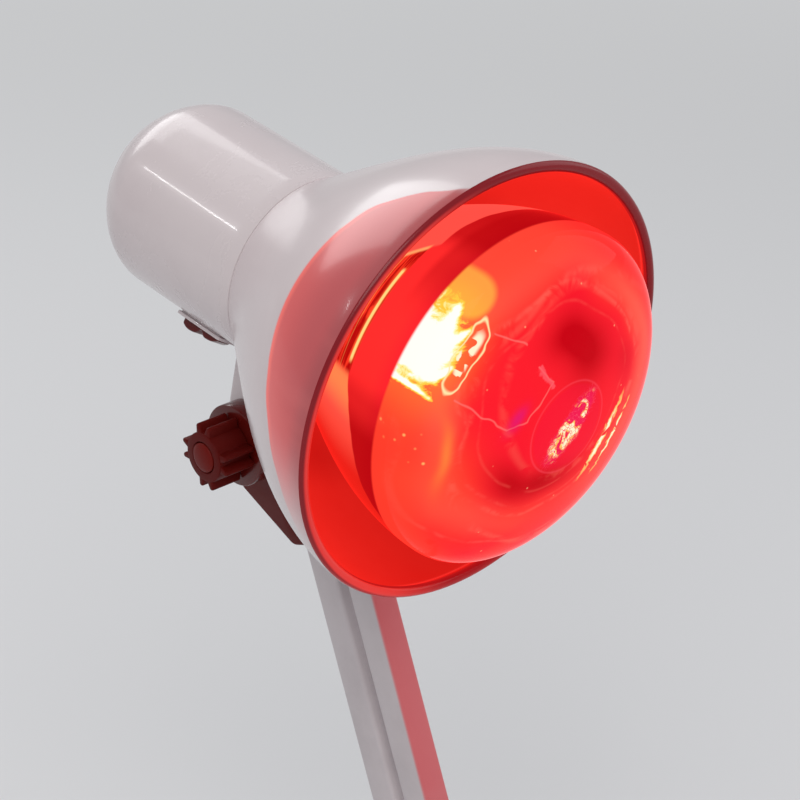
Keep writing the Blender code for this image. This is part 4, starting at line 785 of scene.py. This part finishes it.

    # the flank behind the widest circle: its glow, its rear painted with the wall's light, and a painted
    # reflection shaped like a window on it
    glow = look.byTurn(bend, b["glow"]) * (1 - z.fade(124.5, 129) * bend.drop(0.5, 0.9) * 0.55)
    # painted patch of hot light low on the flank
    low = look.blend(look.byTurn(bend, b["hot"]), (0.8, 0.03, 0.018), (1, 0.24, 0.1))
    edge = look.byTurn(bend, b["wallEdge"], 200)
    # the wall's painted light where it shows on the flank's rear
    wall = look.blend(bend.fade(1.4, 1.9), (1, 0.085, 0.065), (0.74, 0.015, 0.009))
    wall = look.blend(look.byTurn(bend, b["orange"]), wall, (1, 0.25, 0.08))
    slant = bend + (z - 111) * 0.0148
    windowReflection = slant.fade(0.52, 0.56) * bend.drop(1.26, 1.32)
    # bright bars and borders of the painted window reflection
    bar = bend.band(0.6, 0.64, 1.19, 1.24)
    ripple = look.noise(look.mapped(spot, Scale=(1, 1, 9)), 60, 3, 0.6, 0.5)
    windowReflectionTone = look.blend(ripple.fade(0.42, 0.62), (0.42, 0.003, 0.003), (0.9, 0.04, 0.016))
    border = z.near(108.5, 0.5) + z.near(112.5, 0.4) * ripple
    flank = look.layers(
        look.blend(glow, (0.4, 0.001, 0.003), (0.96, 0.016, 0.028)),
        (z.drop(130, 142) * glow * 0.45, (1, 0.045, 0.026)),
        (z.drop(104, 107.5), low),
        (z.band(107.5, 109, 118.5, 119.2) * windowReflection, windowReflectionTone),
        (z.near(117.2, 2.2) * bar * 0.8, (1, 0.16, 0.04)),
        ((z - 117.2).math("ABSOLUTE").drop(0.4, 1) * bar, (1, 0.74, 0.24)),
        (border.math("MINIMUM", 1) * windowReflection, (1, 0.34, 0.09)),
        ((z - edge).drop(-0.3, 0.6) * (1 - windowReflection), wall),
        (slant.near(0.54, 0.034) * z.band(107, 109, 118, 119.6), (1, 0.4, 0.14)),
    )
    tone = look.blend(z.fade(b["faceEdge"] - 0.8, b["faceEdge"] + 0.6), flank, face)
    look.light(tone, 0.94)
    tone = look.blend(0.9, tone, (0.05, 0, 0.001))
    return look.paint(tone, fine * 0.05 + 0.03, broad * 1.5 + fine * 0.4, 0.08, 0.001)


bulbGlass = turnedPiece("bulbGlass", envelopeProfile(), bulbSet["steps"], bulbMatrix, closed=False)
dress(bulbGlass, glassFinish(), "head", "bulb_envelope")
print("bulb made")


# One node tree makes rings of small repeated pieces
def ringTree():
    tree = bpy.data.node_groups.new("pieceRing", "GeometryNodeTree")
    tree.interface.new_socket(name="Geometry", in_out="OUTPUT", socket_type="NodeSocketGeometry")
    names = {}
    kinds = {"Piece": "Object", "Count": "Int", "Radius": "Float", "Start": "Float", "Look": "Material"}
    for name, kind in kinds.items():
        made = tree.interface.new_socket(name=name, in_out="INPUT", socket_type="NodeSocket" + kind)
        names[name] = made.identifier
    start = tree.nodes.new("NodeGroupInput")
    piece, count, radius, first, look = [Wire(tree, start.outputs[name]) for name in names]
    line = addNode(tree, "GeometryNodeMeshLine", {"Count": count, "Offset": (0, 0, 0)})
    angle = addNode(tree, "GeometryNodeInputIndex") * math.tau / count + first
    radial = addNode(tree, "ShaderNodeCombineXYZ", {"X": radius})
    place = addNode(tree, "ShaderNodeVectorRotate", {"Vector": radial, "Angle": angle}, rotation_type="Z_AXIS")
    points = addNode(tree, "GeometryNodeSetPosition", {"Geometry": line, "Position": place})
    unit = addNode(tree, "GeometryNodeObjectInfo", {"Object": piece}, "Geometry")
    turn = addNode(tree, "ShaderNodeCombineXYZ", {"Z": angle})
    turn = addNode(tree, "FunctionNodeEulerToRotation", {0: turn})
    sockets = {"Points": points, "Instance": unit, "Rotation": turn}
    copies = addNode(tree, "GeometryNodeInstanceOnPoints", sockets)
    real = addNode(tree, "GeometryNodeRealizeInstances", {0: copies})
    dressed = addNode(tree, "GeometryNodeSetMaterial", {"Geometry": real, "Material": look})
    tree.links.new(dressed.socket, tree.nodes.new("NodeGroupOutput").inputs[0])
    return tree, names


pieceRing, ringSockets = ringTree()


def ringOf(name, unit, count, radius, start, look, matrix):
    piece = newObject(name, bpy.data.meshes.new(name))
    ring = piece.modifiers.new("ring", "NODES")
    ring.node_group = pieceRing
    for key, value in zip(ringSockets.values(), (unit, count, radius, math.radians(start), look.material)):
        ring[key] = value
    applyModifiers(piece)
    piece.data.transform(matrix)
    discard(unit)
    smoothAll(piece.data)
    return piece


def joined(name, *pieces):
    bm = bmesh.new()
    for piece in pieces:
        bm.from_mesh(piece.data)
        discard(piece)
    mesh = meshOf(name, bm)
    smoothAll(mesh)
    return newObject(name, mesh)


# Filament: a bright coil on an arc between its two wires
filamentSet = {
    "place": 0.106, "spread": 0.011, "rise": 0.75, "coilR": 0.001, "wire": 0.00022, "turns": 42, "perTurn": 9,
}


def makeFilament():
    f = filamentSet
    curve = bpy.data.curves.new("filament", "CURVE")
    curve.dimensions = "3D"
    curve.bevel_depth = f["wire"]
    curve.bevel_resolution = 1
    curve.use_fill_caps = True
    spline = curve.splines.new("POLY")
    last = f["turns"] * f["perTurn"] - 1
    spline.points.add(last)
    for i, point in enumerate(spline.points):
        angle = math.pi * i / last
        out = Vector((-math.cos(angle), f["rise"] * math.sin(angle), 0))
        middle = out * f["spread"] + Vector((0, 0, f["place"]))
        wind = math.tau * f["turns"] * i / last
        coil = out.normalized() * math.cos(wind) + Vector((0, 0, math.sin(wind)))
        point.co = (*(middle + coil * f["coilR"]), 1)
    draft = newObject("filamentDraft", curve)
    mesh = plainMesh(draft)
    discard(draft)
    mesh.transform(bulbMatrix)
    smoothAll(mesh)
    look = Look("whiteHotFilament", (0.9, 0.6, 0.3), 0.5)
    heat = look.noise(look.place(), 300, 3)
    look.light(look.blend(heat, (1, 0.62, 0.2), (1, 0.85, 0.45)), 6)
    look.set("Roughness", heat * 0.3 + 0.3)
    dress(newObject("filamentCoil", mesh), look, "head", "bulb_filament")


makeFilament()
print("filament made")


# Star knob: a core with four lobes of two ribs each, made as a ring
knobSet = {
    "coreR": 0.0098, "tipR": 0.0132, "length": 0.0144,
    "beyond": 0.0012,  # past its solid's end, as the photograph has it
    "lobes": 4, "ribOffset": 14, "ribTop": 0.001, "ribFoot": 0.0017,
    "footRs": (0.8, 0.995),  # of the core's radius
    "edge": 0.0007,
    "ribLength": 0.94,  # of the core's own length
    "phase": 10,
    "seatR": 0.0061,  # seat of the cap
    "seatDepth": 0.0015, "boreR": 0.0033, "boreTop": 0.0042,
}


def knobLobe():
    k = knobSet
    e, half, foot = k["edge"], k["length"] / 2, k["ribFoot"]
    low, high = [k["coreR"] * share for share in k["footRs"]]
    tip = arcOf((k["tipR"] - k["ribTop"], 0), (k["ribTop"], k["ribTop"]), 90, -90, 6)
    outline = [(low, foot), (high, foot), *tip, (high, -foot), (low, -foot)]
    levels = [(half, e), (half - e * 0.3, e * 0.3), (half - e, 0)]
    stacks = []
    for side in (-1, 1):
        turn = turned(side * k["ribOffset"], "Z")
        stack = []
        for height, shrink in [(-height, shrink) for height, shrink in levels] + levels[::-1]:
            ring = [(x - shrink if x > k["coreR"] else x, y * (1 - shrink / foot * 0.6)) for x, y in outline]
            stack.append([turn @ Vector((x, y, height * k["ribLength"])) for x, y in ring])
        stacks.append(stack)
    return newObject("knobLobe", skinned("knobLobe", *stacks))


def makeKnob(name, node, pitch):
    k = knobSet
    low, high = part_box(node)
    middle = (low + high) / 2 - Vector((k["beyond"] / 2, 0, 0))
    matrix = moved(*middle) @ turned(90 + pitch, "X") @ toSide
    half = k["length"] / 2
    profile = [(0, half - k["seatDepth"]), (k["seatR"], half - k["seatDepth"])]
    profile += [(k["seatR"], half - 0.0003), (k["seatR"] + 0.0003, half)]
    profile += softCorner(k["coreR"], half, k["edge"]) + softCorner(k["coreR"], -half, k["edge"], -1)[::-1]
    profile += [(k["boreR"], -half), (k["boreR"], half - k["boreTop"]), (0, half - k["boreTop"])]
    core = turnedPiece("core", profile, 96, matrix, closed=False)
    lobes = ringOf("lobes", knobLobe(), k["lobes"], 0.0, k["phase"], darkRed, matrix)
    dress(joined(name, core, lobes), darkRed, node, node)
    cap = refinedCopy(node + "_cap", name + "Cap", 0.0002, 2)
    cap.data.transform(moved(-k["beyond"], 0, 0))
    dress(cap, knobCapRed, node, node + "_cap")


makeKnob("tiltStarKnob", "tilt_knob", headSet["pitch"])
makeKnob("armStarKnob", "arm_knob", -90)
print("knobs made")


# Pieces that keep their solid's shape, with softer edges
for node, name, width, look, body in (
    ("head_fork", "headFork", 0.0004, whitePlastic, "head"),
    ("arm_knuckle", "armKnuckle", 0.0004, darkRed, "knuckle"),
    ("arm_yoke", "armYoke", 0.0004, darkRed, "yoke"),
    ("switch_body", "switchBody", 0.00035, whitePlastic, "head"),
):
    dress(refinedCopy(node, name, width), look, body, node)


# Rocker with two raised pads
rockerSet = {
    "middle": (-0.019918, 0.141619, 0.372383), "hinge": (-0.848167, -0.073724, 0.524574),
    "out": (-0.527714, 0.031285, -0.848846), "reach": 0.00965, "width": 0.0073, "height": 0.0039,
    "notch": 0.0021,
    "notchWidth": 0.17,  # share of the reach
    "endStart": 0.55,  # share of the reach
    "endDrop": 0.0015, "skirt": 0.0012, "keel": 0.0028,
    "keelReach": 0.35,  # share of the reach
    "edge": 0.0007,
}


def makeRocker():
    r = rockerSet
    reach, keel = r["reach"], r["reach"] * r["keelReach"]
    hinge, out = Vector(r["hinge"]).normalized(), Vector(r["out"]).normalized()
    outline = []
    for i in range(41):
        share = 1 - i / 20
        height = r["height"] - r["notch"] * math.exp(-(share / r["notchWidth"]) ** 2)
        height -= r["endDrop"] * max(0, (abs(share) - r["endStart"]) / (1 - r["endStart"])) ** 2
        outline.append((reach * share, height))
    outline += [(-reach, -r["skirt"]), (-keel, -r["keel"]), (keel, -r["keel"]), (reach, -r["skirt"])]
    mesh = skinned("switchRocker", [[(x, side * r["width"] / 2, z) for x, z in outline] for side in (-1, 1)])
    mesh.transform(moved(*r["middle"]) @ facing(hinge.cross(out), hinge, out))
    rocker = newObject("switchRocker", mesh)
    softenEdges(rocker, r["edge"], 4, 40)
    smoothAll(rocker.data, 50)
    dress(rocker, glossRed, "switch_rocker", "switch_rocker")


makeRocker()

# Dark sleeve round the fork's hub, under the knob
collarSet = {
    "middle": (0, 0.126406, 0.329742), "from": -0.0134, "to": -0.0219, "innerR": 0.01545, "outerR": 0.0159,
    "lipR": 0.007, "lip": 0.00015, "edge": 0.0005,
}


def makeCollar():
    c = collarSet
    profile = [(c["outerR"] - 0.0002, c["from"]), (c["outerR"], c["from"] - 0.0003)]
    profile += softCorner(c["outerR"], c["to"], c["edge"], -1)[::-1]
    profile += [(c["lipR"], c["to"]), (c["lipR"], c["to"] + c["lip"]), (c["innerR"], c["to"] + c["lip"])]
    profile.append((c["innerR"], c["from"]))
    outward = [(radius, -height) for radius, height in profile]
    collar = turnedPiece("hubCollar", outward[::-1], 96, moved(*c["middle"]) @ toSide)
    dress(collar, glossRed, "head")


makeCollar()

# The two bars; the front one catches the lamp's red light on its front face
barSet = {
    "lean": -21.2, "frontFoot": (0, -0.009183, 0.066862), "halfDepth": 0.00715, "litBase": (0.36, 0.06, 0.068),
    "litGlow": (0.26, 0.006, 0.01),
}


def litBarFinish():
    b = barSet
    matrix = moved(*b["frontFoot"]) @ turned(b["lean"], "X")
    look, spot, dust, pale = paintedSteel("litBarPaint", *barPaints, 0.4, 0.1, matrix)
    x, y, z = look.axes(spot)
    front = y.drop(0.0003 - b["halfDepth"], 0.0017 - b["halfDepth"])
    lit = (front * (z.fade(-0.06, 0.17) * 0.75 + 0.25) * (dust * 0.3 + 0.85)).math("MINIMUM", 1)
    look.set("Base Color", look.blend(lit * 0.85, pale, b["litBase"]))
    look.light(look.blend(lit, (0, 0, 0), b["litGlow"]), 0.7)
    return look


dress(refinedCopy("rear_bar", "rearBarTube", 0), barPaint, "rear_bar", "rear_bar")
dress(refinedCopy("front_bar", "frontBarTube", 0), litBarFinish(), "front_bar", "front_bar")
print("arm pieces made")


# The round base cover
baseSet = {
    "radius": 0.115, "bottom": 0.003, "top": 0.029, "edgeR": 0.01, "wall": 0.003, "edge": 0.0008,
    "bossR": 0.028, "bossTop": 0.032, "footR": 0.0316, "holeR": 0.0073, "steps": 160,
}


def makeBase():
    b = baseSet
    e, wall, top, edgeR = b["edge"], b["wall"], b["top"], b["edgeR"]
    bossR, bossTop, footR = b["bossR"], b["bossTop"], b["footR"]
    reach = b["radius"] - edgeR
    profile = [(b["holeR"], bossTop), (bossR - e, bossTop), (bossR, bossTop - e * 0.4)]
    profile += [(bossR + e * 0.6, bossTop - e), (footR - 0.001, top + 0.0004)]
    profile += [(footR + (reach - footR) * i / 8, top) for i in range(8)]
    profile += arcOf((reach, top - edgeR), (edgeR, edgeR), 90, 0, 16)
    profile += softCorner(b["radius"], b["bottom"], e, -1)[::-1] + [(b["radius"] - wall, b["bottom"])]
    profile += arcOf((reach, top - edgeR), (edgeR - wall, edgeR - wall), 0, 90, 8)
    profile += [(bossR + 0.001, top - wall), (bossR - wall, bossTop - wall), (b["holeR"], bossTop - wall)]
    dress(turnedPiece("baseCover", profile, b["steps"]), whitePlastic, "base", "base_cover")


makeBase()


# Base screws with a cross slot, as a ring of four
screwSet = {
    "tip": ((0, -0.008), (0.0013, -0.0066), (0.0015, 0)), "headR": 0.003, "headLength": 0.0018, "rim": 0.4,
    "slotLength": 1.1, "slotDepth": 0.001, "slotWidth": 0.0009, "reach": 0.104, "up": 0.0027,
}


def crossScrew():
    s = screwSet
    radius, length, rim = s["headR"], s["headLength"], s["rim"]
    profile = [*s["tip"], (radius, 0), (radius, length * rim)]
    profile += [(radius * math.cos(a), length * (rim + (1 - rim) * math.sin(a))) for a in (0.35, 0.75, 1.15)]
    profile.append((0, length))
    head = turnedPiece("crossScrew", profile[::-1], 32, closed=False)
    for turn in (0, 90):
        size = (radius * s["slotLength"], s["slotWidth"], s["slotDepth"] * 2)
        cutBox(head, moved(0, 0, length) @ turned(turn, "Z"), size)
    return head


screwPlace = moved(0, 0, screwSet["up"]) @ turned(180, "X")
baseScrews = ringOf("baseScrews", crossScrew(), 4, screwSet["reach"], 45, platedSteel, screwPlace)
dress(baseScrews, platedSteel, "base", "base_screw_1", "base_screw_2", "base_screw_3", "base_screw_4")
print("base made")


# Screw cap of the bulb with its rolled thread
capSet = {"half": 0.0125, "pitch": 0.0036, "radius": 0.0131, "wall": 0.0006, "crest": 0.0003, "footR": 0.0095}


def makeCap():
    c = capSet
    outer = []
    for i in range(61):
        height = c["half"] - (2 * c["half"] - c["pitch"]) * i / 60
        wave = math.cos(math.tau * (c["half"] - height) / c["pitch"])
        outer.append((c["radius"] - c["crest"] + c["crest"] * wave, height))
    outer.append((c["footR"], -c["half"]))
    inner = [(r - c["wall"], h + (c["wall"] if r == c["footR"] else 0)) for r, h in reversed(outer)]
    dress(turnedPiece("bulbCap", outer + inner, 96, bulbMatrix), platedSteel, "head", "bulb_cap")


makeCap()

# Solids that stay as they are, by their look
stemGlass = Look("stemGlass", (0.8, 0.72, 0.7), 0.08, coat=0.5)
stemNoise = stemGlass.noise(stemGlass.place(), 120, 3)
stemGlass.set("Roughness", stemNoise * 0.1 + 0.05)
stemGlass.set("Base Color", stemGlass.blend(stemNoise, (0.8, 0.6, 0.56), (0.7, 0.45, 0.42)))
stemGlass.set("Alpha", 0.5)
for look, names in (
    (blackPaint, "base_plate"), (iron, "base_weight"), (rubber, "base_pad cord_inlet"),
    (porcelain, "holder_body"), (blackInsulator, "bulb_insulator"), (stemGlass, "bulb_stem"),
    (platedSteel, "yoke_pin arm_bolt swivel_spindle swivel_nut knuckle_pin_rear knuckle_pin_front tilt_bolt"),
    (platedSteel, "holder_plate fork_screw_1 fork_screw_2 holder_screw_1 holder_screw_2"),
    (platedSteel, "holder_plate_screw_1 holder_plate_screw_2 bulb_wire_1 bulb_wire_2"),
    (brass, "holder_shell holder_contact bulb_contact"),
    (nylon, "tilt_washer_1 tilt_washer_2 rear_bar_foot_plug rear_bar_top_plug"),
    (nylon, "front_bar_foot_plug front_bar_top_plug"),
):
    for name in names.split():
        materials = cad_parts[name].data.materials
        materials.clear()
        materials.append(look.material)
print("carried pieces dressed")


# Floor, world and soft studio lamps
studioSet = {
    "floor": (0.7, 0.7, 0.71), "sky": (0.72, 0.73, 0.75), "skyStrength": 0.55,
    "background": (0.6, 0.605, 0.615), "floorSize": 6,
    "floorFade": (0.5, 2.2),  # metres out, where the floor turns into the background
    "aim": (0, 0, 0.25),
    "lamps": (
        ("keySoft", (-0.9, -0.9, 1.6), 1.1, 15, (1, 0.98, 0.96)),
        ("fillSoft", (1.3, -0.5, 1), 1.2, 6, (0.95, 0.97, 1)),
        ("backSoft", (0.2, 1.4, 1.3), 1, 9, (1, 1, 1)),
    ),
    # a narrow lamp that draws the line along the housing
    "stripPlace": (-0.974, 1.112, 1.27), "stripAim": (-0.029, 0.134, 0.4265),
    "stripAlong": (-0.57, -0.77, -0.28), "stripSize": (0.2, 0.022), "stripPower": 0.5,
}


def makeStudio(s):
    bm = bmesh.new()
    bmesh.ops.create_grid(bm, x_segments=1, y_segments=1, size=s["floorSize"])
    floor = newObject("floor", meshOf("floor", bm))
    paint = Look("floorPaint", s["floor"], 0.9)
    x, y, z = paint.axes(paint.place())
    haze = paint.node("Emission", {"Color": (*s["background"], 1)})
    plain = Wire(paint.tree, paint.shader.outputs[0])
    mixed = paint.node("MixShader", {0: lengthOf(x, y).fade(*s["floorFade"]), 1: plain, 2: haze})
    paint.tree.links.new(mixed.socket, paint.tree.nodes["Material Output"].inputs["Surface"])
    floor.data.materials.append(paint.material)
    world = bpy.data.worlds.new("studio")
    world.use_nodes = True
    tree = world.node_tree
    sky = tree.nodes["Background"]
    sky.inputs["Color"].default_value = (*s["sky"], 1)
    sky.inputs["Strength"].default_value = s["skyStrength"]
    seen = addNode(tree, "ShaderNodeBackground", {"Color": (*s["background"], 1)})
    byCamera = addNode(tree, "ShaderNodeLightPath", output="Is Camera Ray")
    mixed = addNode(tree, "ShaderNodeMixShader", {0: byCamera, 1: Wire(tree, sky.outputs[0]), 2: seen})
    tree.links.new(mixed.socket, tree.nodes["World Output"].inputs["Surface"])
    lampScene.world = world
    for name, where, size, power, tint in s["lamps"]:
        data = bpy.data.lights.new(name, "AREA")
        data.size, data.energy, data.color = size, power, tint
        light = newObject(name, data)
        light.location = where
        light.rotation_euler = (Vector(s["aim"]) - Vector(where)).to_track_quat("-Z", "Y").to_euler()
    data = bpy.data.lights.new("windowStrip", "AREA")
    data.shape = "RECTANGLE"
    data.size, data.size_y = s["stripSize"]
    data.energy = s["stripPower"]
    back = (Vector(s["stripPlace"]) - Vector(s["stripAim"])).normalized()
    along = Vector(s["stripAlong"])
    along = (along - back * along.dot(back)).normalized()
    matrix = moved(*s["stripPlace"]) @ facing(along, back.cross(along), back)
    newObject("windowStrip", data).matrix_world = matrix


makeStudio(studioSet)
print("studio made")
